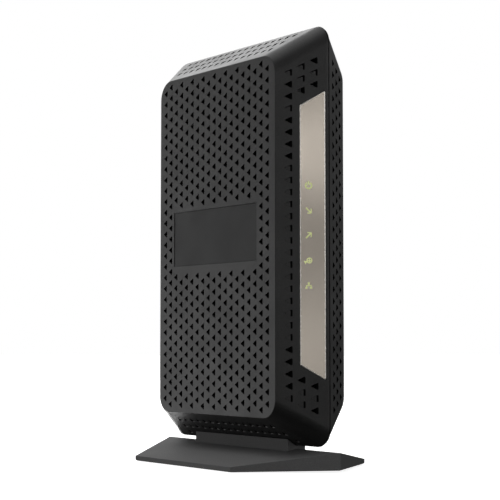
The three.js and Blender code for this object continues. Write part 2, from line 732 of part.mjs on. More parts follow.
/** Eight spring contacts that slope from the socket's roof towards its floor, on one carrier. */
function contactComb() {
  const { count, pitch, halfWidth, carrierHalf } = CONTACTS;
  const carrier = block([4.5, 5.1], [51.8, 53], [ETHERNET_Z - carrierHalf, ETHERNET_Z + carrierHalf]);
  const side = [[4.5, 52.4], [5, 52.4], [3.5, 44.6], [3, 44.6]];
  const fingers = Array.from({ length: count }, (_, i) => {
    const z = ETHERNET_Z + (i - (count - 1) / 2) * pitch;
    return column(side, [z - halfWidth, z + halfWidth]);
  });
  return joined(carrier, ...fingers);
}

// ---------------------------------------------------------------- coaxial connector

const COAX = { radius: 4.76, front: 50, end: 67.6, bore: 3.3, boreFloor: 60 };
const COAX_BASE = { right: 6, front: 40, rear: 54, half: 6 };
const COAX_THREAD = { start: 61, pitch: 0.8, depth: 0.5, plainEnd: 0.2 };
const COAX_NUT = { across: 11, height: 2.4 };
const COAX_INSULATOR = { sunk: 0.4, hole: 0.9 };
const COAX_CONTACT = { sunk: 1.4, radius: 0.55, sides: 8 };

function coaxConnector() {
  const centre = [0, 0, COAX_Z];
  const base = block(
    [PART_BASE, COAX_BASE.right],
    [COAX_BASE.front, COAX_BASE.rear],
    [COAX_Z - COAX_BASE.half, COAX_Z + COAX_BASE.half],
  );
  const bore = rod('y', [COAX.boreFloor, COAX.end + BEYOND], COAX.bore, centre, ROUND_SIDES);
  const nutSeat = REAR_FACE + GAP;
  const nutTop = nutSeat + COAX_NUT.height;
  const nut = cut(
    rod('y', [nutSeat, nutTop], COAX_NUT.across / Math.sqrt(3), centre, 6),
    rod('y', [nutSeat - BEYOND, nutTop + BEYOND], COAX.radius + GAP, centre, ROUND_SIDES),
  );
  const insideStart = COAX.boreFloor + GAP;
  const insulator = cut(
    rod('y', [insideStart, COAX.end - COAX_INSULATOR.sunk], COAX.bore - GAP, centre, ROUND_SIDES),
    rod('y', [insideStart - BEYOND, COAX.end + BEYOND], COAX_INSULATOR.hole, centre),
  );
  const contactEnd = COAX.end - COAX_CONTACT.sunk;
  const contact = rod('y', [insideStart, contactEnd], COAX_CONTACT.radius, centre, COAX_CONTACT.sides);
  return [
    piece('coax_connector', cut(joined(base, threadedBarrel()), bore), NICKEL),
    piece('coax_nut', nut, NICKEL),
    piece('coax_insulator', insulator, WHITE_PLASTIC),
    piece('coax_contact', contact, GOLD),
  ];
}

/** The barrel with its thread as a row of ridges. */
function threadedBarrel() {
  const { start, pitch, depth, plainEnd } = COAX_THREAD;
  const root = COAX.radius - depth;
  const profile = [[0, COAX.front], [COAX.radius, COAX.front], [COAX.radius, start]];
  for (let y = start; y + pitch <= COAX.end - plainEnd; y += pitch) {
    profile.push([root, y + pitch / 2], [COAX.radius, y + pitch]);
  }
  profile.push([root, COAX.end], [0, COAX.end]);
  const geometry = new THREE.LatheGeometry(profile.map(([r, y]) => new THREE.Vector2(r, y)), ROUND_SIDES);
  geometry.translate(0, 0, COAX_Z);
  return solid(geometry);
}

// ---------------------------------------------------------------- power jack

const POWER_JACK = { x: -1.4, right: 4.1, half: 4.6, nose: 4, bore: 3.15, boreFloor: 46.5, front: 42 };
const POWER_PIN = { radius: 1, sunk: 1.2 };

function powerJack() {
  const centre = [POWER_JACK.x, 0, POWER_JACK_Z];
  const behindPanel = REAR_FACE - REAR_PANEL_THICKNESS - GAP;
  const body = joined(
    block(
      [PART_BASE, POWER_JACK.right],
      [POWER_JACK.front, behindPanel],
      [POWER_JACK_Z - POWER_JACK.half, POWER_JACK_Z + POWER_JACK.half],
    ),
    rod('y', [behindPanel - 1, REAR_FACE - GAP], POWER_JACK.nose, centre, ROUND_SIDES),
  );
  const bore = rod('y', [POWER_JACK.boreFloor, REAR_FACE + BEYOND], POWER_JACK.bore, centre, ROUND_SIDES);
  const pinEnd = REAR_FACE - POWER_PIN.sunk;
  const pin = rod('y', [POWER_JACK.boreFloor + GAP, pinEnd], POWER_PIN.radius, centre);
  return [piece('power_jack', cut(body, bore), DARK_PLASTIC), piece('power_jack_pin', pin, NICKEL)];
}

// ---------------------------------------------------------------- power and reset controls

const POWER_BUTTON = { x: -1, halfX: 3.6, halfZ: 4.6, radius: 1.2, inner: 51.5, outer: 60.8 };
const BUTTON_LIP = { width: 0.8, inner: 53.9, outer: 55.2 };
const POWER_SWITCH = { right: 2.4, front: 36, rear: 48.6, half: 4.5 };
const RESET = { x: -4.9, radius: 0.95, inner: 50.9, outer: 56.7 };
const RESET_SWITCH = { right: -3.2, front: 44, rear: 50, half: 3 };

/** The power button's outline, grown by a margin, pushed from one Y to another. */
function buttonBlock(margin, reach) {
  const outline = roundedRectangle(
    {
      left: POWER_BUTTON.x - POWER_BUTTON.halfX - margin,
      right: POWER_BUTTON.x + POWER_BUTTON.halfX + margin,
      low: POWER_BUTTON_Z - POWER_BUTTON.halfZ - margin,
      high: POWER_BUTTON_Z + POWER_BUTTON.halfZ + margin,
    },
    POWER_BUTTON.radius + margin,
    SMALL_CORNER_STEPS,
  );
  return beam(outline, reach);
}

/** The body of a switch that stands on the board at a height. */
function switchBody({ right, front, rear, half }, z) {
  return block([PART_BASE, right], [front, rear], [z - half, z + half]);
}

function powerControls() {
  const cap = joined(
    buttonBlock(0, [POWER_BUTTON.inner, POWER_BUTTON.outer]),
    buttonBlock(BUTTON_LIP.width, [BUTTON_LIP.inner, BUTTON_LIP.outer]),
  );
  return [
    piece('power_switch', switchBody(POWER_SWITCH, POWER_BUTTON_Z), DARK_PLASTIC),
    piece('power_button', cap, STAND_PLASTIC),
  ];
}

function resetControls() {
  const plunger = rod('y', [RESET.inner, RESET.outer], RESET.radius, [RESET.x, 0, RESET_Z], MIDDLE_SIDES);
  return [
    piece('reset_switch', switchBody(RESET_SWITCH, RESET_Z), DARK_PLASTIC),
    piece('reset_button', plunger, WHITE_PLASTIC),
  ];
}

// ---------------------------------------------------------------- connector panel

function rearPanel() {
  const through = [REAR_FACE - REAR_PANEL_THICKNESS - BEYOND, REAR_FACE + BEYOND];
  const plate = block(
    [-POCKET.halfWidth + GAP, POCKET.halfWidth - GAP],
    [REAR_FACE - REAR_PANEL_THICKNESS, REAR_FACE],
    [POCKET.low + GAP, POCKET.high - GAP],
  );
  const jackSpan = JACK.halfWidth + GAP;
  const panel = cut(
    plate,
    block([JACK.left - GAP, JACK.right + GAP], through, [ETHERNET_Z - jackSpan, ETHERNET_Z + jackSpan]),
    rod('y', through, COAX.radius + GAP, [0, 0, COAX_Z], ROUND_SIDES),
    rod('y', through, POWER_JACK.nose + GAP, [POWER_JACK.x, 0, POWER_JACK_Z], ROUND_SIDES),
    rod('y', through, RESET.radius + GAP, [RESET.x, 0, RESET_Z], MIDDLE_SIDES),
    buttonBlock(GAP, through),
  );
  return piece('rear_panel', panel, DARK_PLASTIC);
}

// ---------------------------------------------------------------- assembly

const group = new THREE.Group();
group.add(
  leftShell(),
  rightShell(),
  badgePlate(),
  ...statusPanel(),
  ...lightGuides(),
  ...stand(),
  ...standScrews(),
  mainBoard(),
  ...boardScrews(),
  ...boardParts(),
  ...coolingStack(),
  ...tunerShield(),
  ...ethernetSocket(),
  ...coaxConnector(),
  ...powerJack(),
  ...powerControls(),
  ...resetControls(),
  rearPanel(),
);

export default group;
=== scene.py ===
"""Looks of a free-standing cable modem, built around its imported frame.

Shapes are modelled in millimetres, in the frame's axes, and scaled to metres when a piece is placed:
X is the thickness, Y the depth (front at -Y, connectors at +Y) and Z is up.
"""

import math

import bmesh
import bpy
from mathutils import Matrix, Vector


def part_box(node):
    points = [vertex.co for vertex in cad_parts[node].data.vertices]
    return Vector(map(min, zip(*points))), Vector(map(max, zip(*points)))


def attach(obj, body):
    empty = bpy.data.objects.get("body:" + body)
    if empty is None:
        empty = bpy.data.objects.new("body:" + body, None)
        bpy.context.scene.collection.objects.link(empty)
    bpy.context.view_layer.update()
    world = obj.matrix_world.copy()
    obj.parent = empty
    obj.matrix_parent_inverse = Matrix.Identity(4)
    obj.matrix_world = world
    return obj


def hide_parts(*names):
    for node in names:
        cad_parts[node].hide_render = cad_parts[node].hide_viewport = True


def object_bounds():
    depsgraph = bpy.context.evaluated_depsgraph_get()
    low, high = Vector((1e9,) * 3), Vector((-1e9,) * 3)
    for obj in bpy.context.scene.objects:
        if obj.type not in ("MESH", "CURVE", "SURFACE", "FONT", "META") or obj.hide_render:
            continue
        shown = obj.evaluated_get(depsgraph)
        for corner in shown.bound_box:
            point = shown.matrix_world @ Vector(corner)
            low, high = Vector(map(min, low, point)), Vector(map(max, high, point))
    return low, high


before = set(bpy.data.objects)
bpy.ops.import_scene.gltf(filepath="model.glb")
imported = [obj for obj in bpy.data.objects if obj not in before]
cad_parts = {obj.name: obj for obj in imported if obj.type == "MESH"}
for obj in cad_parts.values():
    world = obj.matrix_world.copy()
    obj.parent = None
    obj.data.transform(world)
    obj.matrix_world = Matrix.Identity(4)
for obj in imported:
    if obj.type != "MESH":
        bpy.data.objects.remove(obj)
cad_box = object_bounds()

# ---------------------------------------------------------------- driving dimensions, in millimetres

MM = 0.001
GAP = 0.3  # clearance between neighbouring pieces
PAST = 1.0  # how far a cutter reaches past the surface that it opens

# The case: two half shells that meet in the plane X = 0.
CORNER_RADII = (9.5, 9.5, 9.5, 7.9)  # of the outline: rear high, front high, front low, rear low
CORNER_STEPS = 10
WALL = 2.0
RUN = {"front": 14.8, "rear": 15.8, "low": 13.6, "high": 14.3}  # how far each edge slope runs in
EDGE_RADIUS = 0.5  # rounding between a broad face and its slopes
EDGE_STEPS = 3

# The seam. Sides are -1 for the left shell and 1 for the right one.
SEAM_GAP = 0.3  # the dark line between the half shells
SEAM_FACE_REACH = 0.165  # shell faces nearer the middle than this are the seam's faces, darkened with a painted shade
LIP_LENGTH = {-1: 1.1, 1: 0.25}  # the left shell's edge curves away gently, the right one's is crisp
LIP_DROP = {-1: 0.22, 1: 0.08}
LIP_STEPS = 6
TONGUE_REACH = {-1: -0.8, 1: 1.0}  # the left tongue crosses the seam into the right shell's rebate
TONGUE_TOP = {-1: 1.3, 1: 1.2}  # how far below the surface they lie
POST_RADIUS = 3.0  # the posts in the left shell that carry the main board

VENT_SIDE = 3.25
VENT_ROUNDING = 0.28
VENT_MOUTH = 0.12  # small chamfer round each vent
VENT_FLARE = 1 + VENT_MOUTH / (VENT_SIDE / math.sqrt(12))
VENT_DEPTH = 3.2
VENT_LEVELS = ((-PAST, VENT_FLARE), (0, VENT_FLARE), (VENT_MOUTH, 1), (VENT_DEPTH, 1))  # depth and scale
SHELF_DEPTH = 0.15  # the filled vents have a shelf this far below the surface
SHELF_LEVELS = ((SHELF_DEPTH, 1), (VENT_DEPTH + PAST, 1))
SHELF_SHIFT = 0.5  # moved away from the seam, so that a dark gap shows; the gap's walls carry a painted shade
SHELF_DROP = 0.7  # and down, most at the top and not at all at the lowest place
SHELF_LAST_STEP = 28.5
PAINTED_SHADE_SLOT = 1  # material slot of the painted shade on the vents' walls and the seam's faces
VENT_PITCH = 5.65  # along a column
COLUMN_PITCH = VENT_PITCH * math.sqrt(3) / 2
VENT_COLUMNS = 19
VENT_HALF_ROWS = 58  # rows half a pitch apart; neighbouring columns take turns in them
VENT_MIDDLE_Y = 0.88
VENT_TOP_Z = 189.16
BADGE_COLUMNS = range(2, 17)  # the badge plate leaves no room for vents in these columns
BADGE_HALF_ROWS = range(22, 34)
EDGE_ROWS = (6.0, 10.9, 15.75)  # distance of the front rows from the seam
REAR_ROW = EDGE_ROWS[2]
TOP_ROWS = ((4.6, 17), (9.8, 16), (14.85, 15))  # distance from the seam, and number of vents
TOP_MIDDLE_Y = 1.9
BOTTOM_ROWS = ((4.15, 17), (9.3, 16), (14.6, 15))
BOTTOM_MIDDLE_Y = 0.9
LEFT_FRONT_STEPS = {  # vent places round the status panel, in pitches down each front row
    EDGE_ROWS[0]: (-0.5, 0.5, 1.5, 26.5, 27.5, 28.5),
    EDGE_ROWS[1]: (0, 1, 2, 26, 27, 28),
    EDGE_ROWS[2]: tuple(i + 0.5 for i in range(28)),
}
LEFT_FRONT_THROUGH = {  # the open ones among them; the others are filled by a shelf
    EDGE_ROWS[0]: (-0.5, 1.5, 26.5, 28.5),
    EDGE_ROWS[1]: (2, 26),
    EDGE_ROWS[2]: (1.5, 2.5, 4.5, 5.5, 6.5, 7.5, 23.5, 24.5, 25.5, 26.5),
}

BADGE_GAP = 0.08  # the badge plate fits closely
BADGE_SUNK = 0.2  # and lies almost flush
BADGE_CORNER = 0.4
BADGE_EDGE = 0.12

PANEL_NEAR = 1.95  # along the slope, from the seam
PANEL_FAR = 13.9
PANEL_HALF_HEIGHT_NEAR = 67.6
PANEL_HALF_HEIGHT_FAR = 60.8
PANEL_PROUD = 0.2
PANEL_THICKNESS = 1.2
PANEL_RIM = 0.4
PANEL_CORNER = 0.35
PANEL_GAP = 0.12  # the status panel fits closely
PANEL_BACK = PANEL_PROUD - PANEL_THICKNESS
PANEL_LEVELS = (  # margin round the outline and distance out of the slope, from the back to the face
    (-0.1, PANEL_BACK),
    (0, PANEL_BACK + 0.1),
    (0, PANEL_PROUD - 0.12),
    (-0.08, PANEL_PROUD - 0.04),
    (-PANEL_RIM, PANEL_PROUD),
    (-PANEL_RIM - 0.05, PANEL_PROUD - 0.03),
)
INK_DEPTH = 0.25  # how far the symbols' inlaid ink reaches down into the panel
INK_PROUD = 0.04
INK_DEPTH_STEP = 0.003  # each stroke is a trace deeper and prouder, so that no two ends share a plane
INK_PROUD_STEP = 0.001
ARROW_HALF_WIDTH = 0.62  # of a solid arrow head, against its length

POCKET_HALF_WIDTH = 10.5  # the flat pocket in the rear edge, for the connector panel
POCKET_LOW = 30.0
POCKET_HIGH = 190.0
POCKET_END_WALL = 2.0
POCKET_END_LIP = 1.0  # flat stretch of the end walls next to the seam

REAR_PANEL_CORNER = 0.6
REAR_PANEL_EDGE = 0.15
COAX_RADIUS = 4.76
COAX_BORE_RADIUS = 3.3
COAX_BORE_START = 60.0
COAX_BASE_HALF_WIDTH = 6.0
COAX_BASE_END = 54.0
COAX_BARREL_START = 50.0
THREAD_START = 60.4
THREAD_PITCH = 0.794
THREAD_DEPTH = 0.42
THREAD_STEPS = 8  # rings in one turn
THREAD_CHAMFER = (0.15, 0.45)  # across and along
JACK_NOSE_RADIUS = 4.0
RESET_RADIUS = 0.95
BUTTON_CORNER = 1.5
BUTTON_LIP = 0.8  # the power button's collar is wider than its opening by this much on each side
ROUND_OPENINGS = {  # openings in the rear panel, each about the middle of a node
    "coax_contact": COAX_RADIUS,
    "power_jack_pin": JACK_NOSE_RADIUS,
    "reset_button": RESET_RADIUS,
}

NECK_HALF_LENGTH = 39.0
NECK_HALF_THICKNESS = 5.3
STAND_SIDE_HALF_LENGTH = 41.5  # half the straight side of the plate; its ends come to a point
STAND_RIDGE_Z = 9.2
STAND_SIDE_Z = 2.7
STAND_UNDER_SIDE_Z = 0.3
STAND_UNDER_MIDDLE_Z = 1.1
STAND_ROUNDING = 0.12
STAND_UNDERCUT = 0.4  # height of the bevel under the plate's edge
STAND_UNDERCUT_SHARE = 0.988  # size of the underside against the plate
FOOT_DISH = 0.25  # depth of the dish in a rubber foot's underside
FOOT_DISH_SHARE = 0.5  # size of the dish's floor against the foot
FOOT_RING_SHARES = (0.6, 0.93)  # size of the flat ring round the dish, from inside to outside
FOOT_EDGE = 0.3
FOOT_TOP_EDGE = 0.15
SCREW_HEAD_RADIUS = 3.0  # pockets and holes for the two screws that hold the stand
SCREW_HEAD_DEPTH = 2.3
SCREW_HOLE_RADIUS = 1.3
SCREW_HOLE_DEPTH = 20.0

# Stage, light and camera, in metres and degrees.
FLOOR_RADIUS = 6
FLOOR_GLOW = (0.85, 1.0)
FLOOR_FADE = (0.12, 0.7)  # distance from the middle over which the floor's glow rises
SKY_FILL = 0.15
SKY_FADE = (-0.05, 0.25)  # upward part of a direction, from where the fill starts to where it is full
CAMERA_PLACE = (-0.4218, -0.5804, 0.0595)
CAMERA_RISE = 3.716
CAMERA_TURN = -36.07
CAMERA_LENS = 103.0
LIGHTS = {  # place, width and height in metres, and radiance
    "rear_light": ((0.2, 1.3, 0.8), (1.5, 1.1), 2.8),
    "left_rear_light": ((-0.8, 1.3, -0.4), (1.0, 1.5), 1.5),
    "low_rear_light": ((0.5, 1.3, -0.35), (0.6, 0.4), 9.0),
    "front_side_light": ((0.5, -1.45, 0.12), (0.3, 0.5), 3.0),
    "low_left_rear_light": ((-0.15, 1.3, -0.15), (0.4, 0.3), 1.6),
    "right_light": ((1.5, 0.45, 0.3), (1.0, 1.0), 0.17),
    "overhead_light": ((-0.3, 0.45, 1.3), (1.4, 1.2), 1.3),
    "front_left_light": ((-1.5, -0.5, 0.5), (0.8, 0.8), 1.0),
    "front_right_light": ((-0.15, -1.6, 0.5), (0.8, 0.8), 1.3),
    "front_fill_light": ((-0.9, -1.25, 0.25), (1.0, 0.7), 0.25),
    "front_high_light": ((-0.75, -1.05, 0.325), (1.0, 0.06), 2.1),
    "front_low_light": ((-0.75, -1.05, 0.05), (1.0, 0.1), 0.85),
}


# ---------------------------------------------------------------- places read from the frame

def box_mm(node):
    """Lowest and highest corner of a frame node, in millimetres."""
    low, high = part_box(node)
    return low / MM, high / MM


def middle_mm(node):
    low, high = box_mm(node)
    return (low + high) / 2


shell_low, shell_high = box_mm("left_shell")
HALF_THICKNESS = -shell_low.x
SEAM = {"front": shell_low.y, "rear": shell_high.y, "low": shell_low.z, "high": shell_high.z}
MEAN_SLOPE = sum(RUN.values()) / len(RUN) / HALF_THICKNESS
WALL_IN_PLANE = WALL * math.hypot(1, RUN["front"] / HALF_THICKNESS)
SLOPE_ANGLE = math.atan(RUN["front"] / HALF_THICKNESS)
PANEL_MIDDLE_Z = middle_mm("status_panel").z


# ---------------------------------------------------------------- outlines

def rounded(corners, radii, steps):
    """A convex outline with its corners turned into arcs. `radii` is one radius, or one for each corner."""
    count = len(corners)
    if not isinstance(radii, list):
        radii = [radii] * count
    points = []
    for i, (corner, radius) in enumerate(zip(corners, radii)):
        here = Vector(corner)
        before = (Vector(corners[i - 1]) - here).normalized()
        after = (Vector(corners[(i + 1) % count]) - here).normalized()
        half = before.angle(after) / 2
        centre = here + (before + after).normalized() * (radius / math.sin(half))
        start = here + before * (radius / math.tan(half)) - centre
        end = here + after * (radius / math.tan(half)) - centre
        first = math.atan2(start.y, start.x)
        sweep = (math.atan2(end.y, end.x) - first + math.pi) % (2 * math.pi) - math.pi
        for step in range(steps + 1):
            angle = first + sweep * step / steps
            points.append((centre.x + radius * math.cos(angle), centre.y + radius * math.sin(angle)))
    return points


def circle(radius, sides, centre=(0, 0)):
    turn = 2 * math.pi / sides
    return [
        (centre[0] + radius * math.cos(i * turn), centre[1] + radius * math.sin(i * turn))
        for i in range(sides)
    ]


def rectangle(u, v):
    """Corners of a rectangle, anticlockwise, from its [low, high] along two axes."""
    return [(u[1], v[1]), (u[0], v[1]), (u[0], v[0]), (u[1], v[0])]


def fillet(corner, toward_a, toward_b, radius, steps):
    """Points of the arc that rounds a corner between two directions, from side a to side b."""
    corner = Vector(corner)
    a = Vector(toward_a).normalized()
    b = Vector(toward_b).normalized()
    half = a.angle(b) / 2
    centre = corner + (a + b).normalized() * (radius / math.sin(half))
    first = corner + a * (radius / math.tan(half)) - centre
    last = corner + b * (radius / math.tan(half)) - centre
    turns = [first.slerp(last, step / steps).normalized() for step in range(steps + 1)]
    return [centre + turn * radius for turn in turns]


# ---------------------------------------------------------------- bodies

def add_loft(mesh, rings):
    """Adds a closed body through rings of equal length, with a face over each end."""
    rows = [[mesh.verts.new(point) for point in ring] for ring in rings]
    count = len(rings[0])
    for lower, upper in zip(rows, rows[1:]):
        for i in range(count):
            j = (i + 1) % count
            mesh.faces.new((lower[i], lower[j], upper[j], upper[i]))
    mesh.faces.new(list(reversed(rows[0])))
    mesh.faces.new(rows[-1])


def along(axis, outline, distance):
    """Lays a flat outline at a distance along an axis. Its two coordinates are the other axes, in order."""
    if axis == "x":
        return [(distance, u, v) for u, v in outline]
    if axis == "y":
        return [(u, distance, v) for u, v in outline]
    return [(u, v, distance) for u, v in outline]


def add_prism(mesh, axis, outline, span):
    add_loft(mesh, [along(axis, outline, distance) for distance in span])


def add_box(mesh, x, y, z):
    add_prism(mesh, "z", rectangle(x, y), z)


def new_piece(name, mesh, slots=1):
    """Makes an object, still in millimetres, from a finished bmesh, with empty material slots."""
    bmesh.ops.recalc_face_normals(mesh, faces=mesh.faces)
    data = bpy.data.meshes.new(name)
    mesh.to_mesh(data)
    mesh.free()
    for _ in range(slots):
        data.materials.append(None)
    piece = bpy.data.objects.new(name, data)
    bpy.context.scene.collection.objects.link(piece)
    return piece


def bake(piece):
    """Replaces a piece's mesh with the result of its modifiers."""
    graph = bpy.context.evaluated_depsgraph_get()
    data = bpy.data.meshes.new_from_object(piece.evaluated_get(graph))
    old = piece.data
    piece.modifiers.clear()
    piece.data = data
    bpy.data.meshes.remove(old)


def set_slot(mesh, slot):
    """Gives all of a bmesh's faces one material slot."""
    for face in mesh.faces:
        face.material_index = slot


def discard(piece):
    """Removes an object and its mesh."""
    data = piece.data
    bpy.data.objects.remove(piece)
    bpy.data.meshes.remove(data)


def combine(piece, mesh, operation):
    """Cuts a bmesh out of a piece, or joins it on. The new faces keep the bmesh's material slots."""
    tool = new_piece("tool", mesh, len(piece.data.materials))
    modifier = piece.modifiers.new("combine", "BOOLEAN")
    modifier.operation = operation
    modifier.solver = "MANIFOLD"
    modifier.object = tool
    bake(piece)
    discard(tool)


def round_edges(piece, width, segments=2, angle=30):
    """Rounds a piece's sharp edges."""
    modifier = piece.modifiers.new("rounding", "BEVEL")
    modifier.width = width
    modifier.segments = segments
    modifier.limit_method = "ANGLE"
    modifier.angle_limit = math.radians(angle)
    modifier.use_clamp_overlap = True
    bake(piece)


def merge_flat_faces(piece):
    """Joins faces that lie in one plane, and points that coincide."""
    mesh = bmesh.new()
    mesh.from_mesh(piece.data)
    bmesh.ops.remove_doubles(mesh, verts=mesh.verts, dist=1e-4)
    bmesh.ops.dissolve_limit(
        mesh, angle_limit=math.radians(0.5), verts=mesh.verts, edges=mesh.edges
    )
    mesh.to_mesh(piece.data)
    mesh.free()


def smooth(piece, angle=28):
    """Shades a piece smoothly, apart from its edges sharper than the angle."""
    piece.data.shade_smooth()
    piece.data.set_sharp_from_angle(angle=math.radians(angle))
    modifier = piece.modifiers.new("normals", "WEIGHTED_NORMAL")
    modifier.mode = "FACE_AREA"
    modifier.keep_sharp = True


def place(piece, body, slot, materials, *nodes):
    """Scales a piece to metres, gives it its materials, and lets it stand for its frame nodes."""
    piece.data.transform(Matrix.Scale(MM, 4))
    for i, material in enumerate(materials):
        piece.data.materials[i] = material
    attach(piece, body)
    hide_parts(*nodes)
    return piece


# ---------------------------------------------------------------- material helpers

def shader_of(material):
    return material.node_tree.nodes["Principled BSDF"]


def surface(name, color, roughness, metallic=0.0):
    """A material with one main shader. Colours are linear."""
    material = bpy.data.materials.new(name)
    material.use_nodes = True
    shader = shader_of(material)
    shader.inputs["Base Color"].default_value = (*color, 1)
    shader.inputs["Roughness"].default_value = roughness
    shader.inputs["Metallic"].default_value = metallic
    return material


def pattern(material, size, detail=2.0, stretch=(1, 1, 1)):
    """A noise pattern fixed to the object, with features about `size` millimetres across."""
    nodes = material.node_tree.nodes
    links = material.node_tree.links
    where = nodes.new("ShaderNodeTexCoord")
    scaled = nodes.new("ShaderNodeMapping")
    scaled.inputs["Scale"].default_value = [1 / (size * MM * s) for s in stretch]
    noise = nodes.new("ShaderNodeTexNoise")
    noise.inputs["Scale"].default_value = 1
    noise.inputs["Detail"].default_value = detail
    links.new(where.outputs["Object"], scaled.inputs["Vector"])
    links.new(scaled.outputs["Vector"], noise.inputs["Vector"])
    return noise.outputs["Fac"]


def remap(material, value, to_low, to_high, from_low=0.3, from_high=0.7):
    """Stretches a value to a new range. Noise mostly lies between 0.3 and 0.7."""
    node = material.node_tree.nodes.new("ShaderNodeMapRange")
    node.inputs["From Min"].default_value = from_low
    node.inputs["From Max"].default_value = from_high
    node.inputs["To Min"].default_value = to_low
    node.inputs["To Max"].default_value = to_high
    material.node_tree.links.new(value, node.inputs["Value"])
    return node.outputs["Result"]


def vary_color(material, value, low, high):
    """Lets the colour run between two colours with a pattern."""
    mix = material.node_tree.nodes.new("ShaderNodeMix")
    mix.data_type = "RGBA"
    mix.inputs["A"].default_value = (*low, 1)
    mix.inputs["B"].default_value = (*high, 1)
    links = material.node_tree.links
    links.new(remap(material, value, 0, 1), mix.inputs["Factor"])
    links.new(mix.outputs["Result"], shader_of(material).inputs["Base Color"])


def vary_roughness(material, value, low, high):
    result = remap(material, value, low, high)
    material.node_tree.links.new(result, shader_of(material).inputs["Roughness"])


def add_bump(material, value, depth):
    """Raises the surface with a pattern, by up to `depth` millimetres, on top of any earlier bump."""
    links = material.node_tree.links
    bump = material.node_tree.nodes.new("ShaderNodeBump")
    bump.inputs["Strength"].default_value = 1
    bump.inputs["Distance"].default_value = depth * MM
    normal = shader_of(material).inputs["Normal"]
    if normal.links:
        links.new(normal.links[0].from_socket, bump.inputs["Normal"])
    links.new(value, bump.inputs["Height"])
    links.new(bump.outputs["Normal"], normal)


# ---------------------------------------------------------------- materials

def grained_plastic(name, dark, light, roughness, grain_size, grain_depth):
    """Moulded plastic with a fine spark-eroded grain and a faint unevenness in its gloss."""
    material = surface(name, light, roughness)
    grain = pattern(material, grain_size, detail=3)
    drift = pattern(material, 18, detail=2)
    vary_color(material, grain, dark, light)
    vary_roughness(material, drift, roughness - 0.04, roughness + 0.05)
    add_bump(material, grain, grain_depth)
    return material


def metal(name, color, roughness, line_size=0.4, stretch=(1, 1, 1), depth=0.004):
    """Metal with fine working lines and patches of slightly different gloss."""
    material = surface(name, color, roughness, metallic=1.0)
    lines = pattern(material, line_size, detail=3, stretch=stretch)
    patches = pattern(material, 6, detail=2)
    vary_color(material, patches, [c * 0.82 for c in color], color)
    vary_roughness(material, lines, roughness * 0.75, roughness * 1.3)
    add_bump(material, lines, depth)
    return material


def panel_material():
    """Champagne lacquer with a fine metallic flake."""
    material = surface("panel_finish", (0.56, 0.5, 0.43), 0.17, metallic=0.65)
    flake = pattern(material, 0.22, detail=2)
    cloud = pattern(material, 26, detail=1, stretch=(1, 1, 2))
    vary_color(material, flake, (0.53, 0.47, 0.4), (0.6, 0.54, 0.465))
    vary_roughness(material, cloud, 0.15, 0.2)
    add_bump(material, flake, 0.006)
    return material


def painted_rim_highlight_material():
    """The panel's cut edge: the same lacquer, painted much brighter as a highlight along the edge."""
    # Painted highlight: the rim's colour is far lighter than the lacquer's, to stand in for the edge
    # catching light.
    material = surface("panel_rim_painted_highlight", (0.9, 0.86, 0.8), 0.3, metallic=0.5)
    lines = pattern(material, 0.3, detail=2, stretch=(1, 1, 6))
    vary_color(material, lines, (0.84, 0.8, 0.74), (0.95, 0.91, 0.85))
    vary_roughness(material, lines, 0.2, 0.32)
    add_bump(material, lines, 0.004)
    return material


def symbol_material():
    """Translucent ink over a light guide, lit faintly from behind."""
    material = surface("symbol_ink", (0.62, 0.65, 0.32), 0.4)
    speckle = pattern(material, 0.3, detail=2)
    vary_color(material, speckle, (0.58, 0.61, 0.29), (0.67, 0.7, 0.36))
    vary_roughness(material, speckle, 0.34, 0.48)
    add_bump(material, speckle, 0.004)
    shader_of(material).inputs["Emission Color"].default_value = (0.52, 0.56, 0.24, 1)
    shader_of(material).inputs["Emission Strength"].default_value = 0.45
    return material


def rubber_material():
    material = surface("foot_rubber", (0.013, 0.013, 0.013), 0.85)
    grit = pattern(material, 0.5, detail=4)
    vary_color(material, grit, (0.008, 0.008, 0.008), (0.024, 0.024, 0.023))
    vary_roughness(material, grit, 0.78, 0.95)
    add_bump(material, grit, 0.03)
    return material


def board_material():
    """Dark solder mask with faint copper runs below it."""
    material = surface("board_mask", (0.006, 0.02, 0.012), 0.4)
    runs = pattern(material, 3, detail=0, stretch=(1, 5, 0.35))
    weave = pattern(material, 0.6, detail=2)
    vary_color(material, runs, (0.004, 0.014, 0.009), (0.012, 0.04, 0.024))
    vary_roughness(material, weave, 0.34, 0.5)
    add_bump(material, runs, 0.03)
    return material


def clear_material():
    """Clear acrylic with a faint haze."""
    material = surface("clear_guide", (0.88, 0.92, 0.9), 0.12)
    haze = pattern(material, 2.0, detail=3)
    vary_roughness(material, haze, 0.06, 0.2)
    add_bump(material, haze, 0.01)
    shader_of(material).inputs["Transmission Weight"].default_value = 0.9
    shader_of(material).inputs["IOR"].default_value = 1.49
    return material


def speckled(name, dark, light, roughness, size=0.5, depth=0.01):
    """A plain moulded or coated finish with fine speckle."""
    material = surface(name, light, roughness)
    speckle = pattern(material, size, detail=3)
    vary_color(material, speckle, dark, light)
    vary_roughness(material, speckle, roughness * 0.88, roughness * 1.12)
    add_bump(material, speckle, depth)
    return material


SHELL = grained_plastic("shell_plastic", (0.0055,) * 3, (0.0165, 0.0162, 0.0157), 0.46, 0.45, 0.03)
STAND = grained_plastic("stand_plastic", (0.12,) * 3, (0.155,) * 3, 0.85, 0.35, 0.012)
shader_of(STAND).inputs["Specular IOR Level"].default_value = 0.07
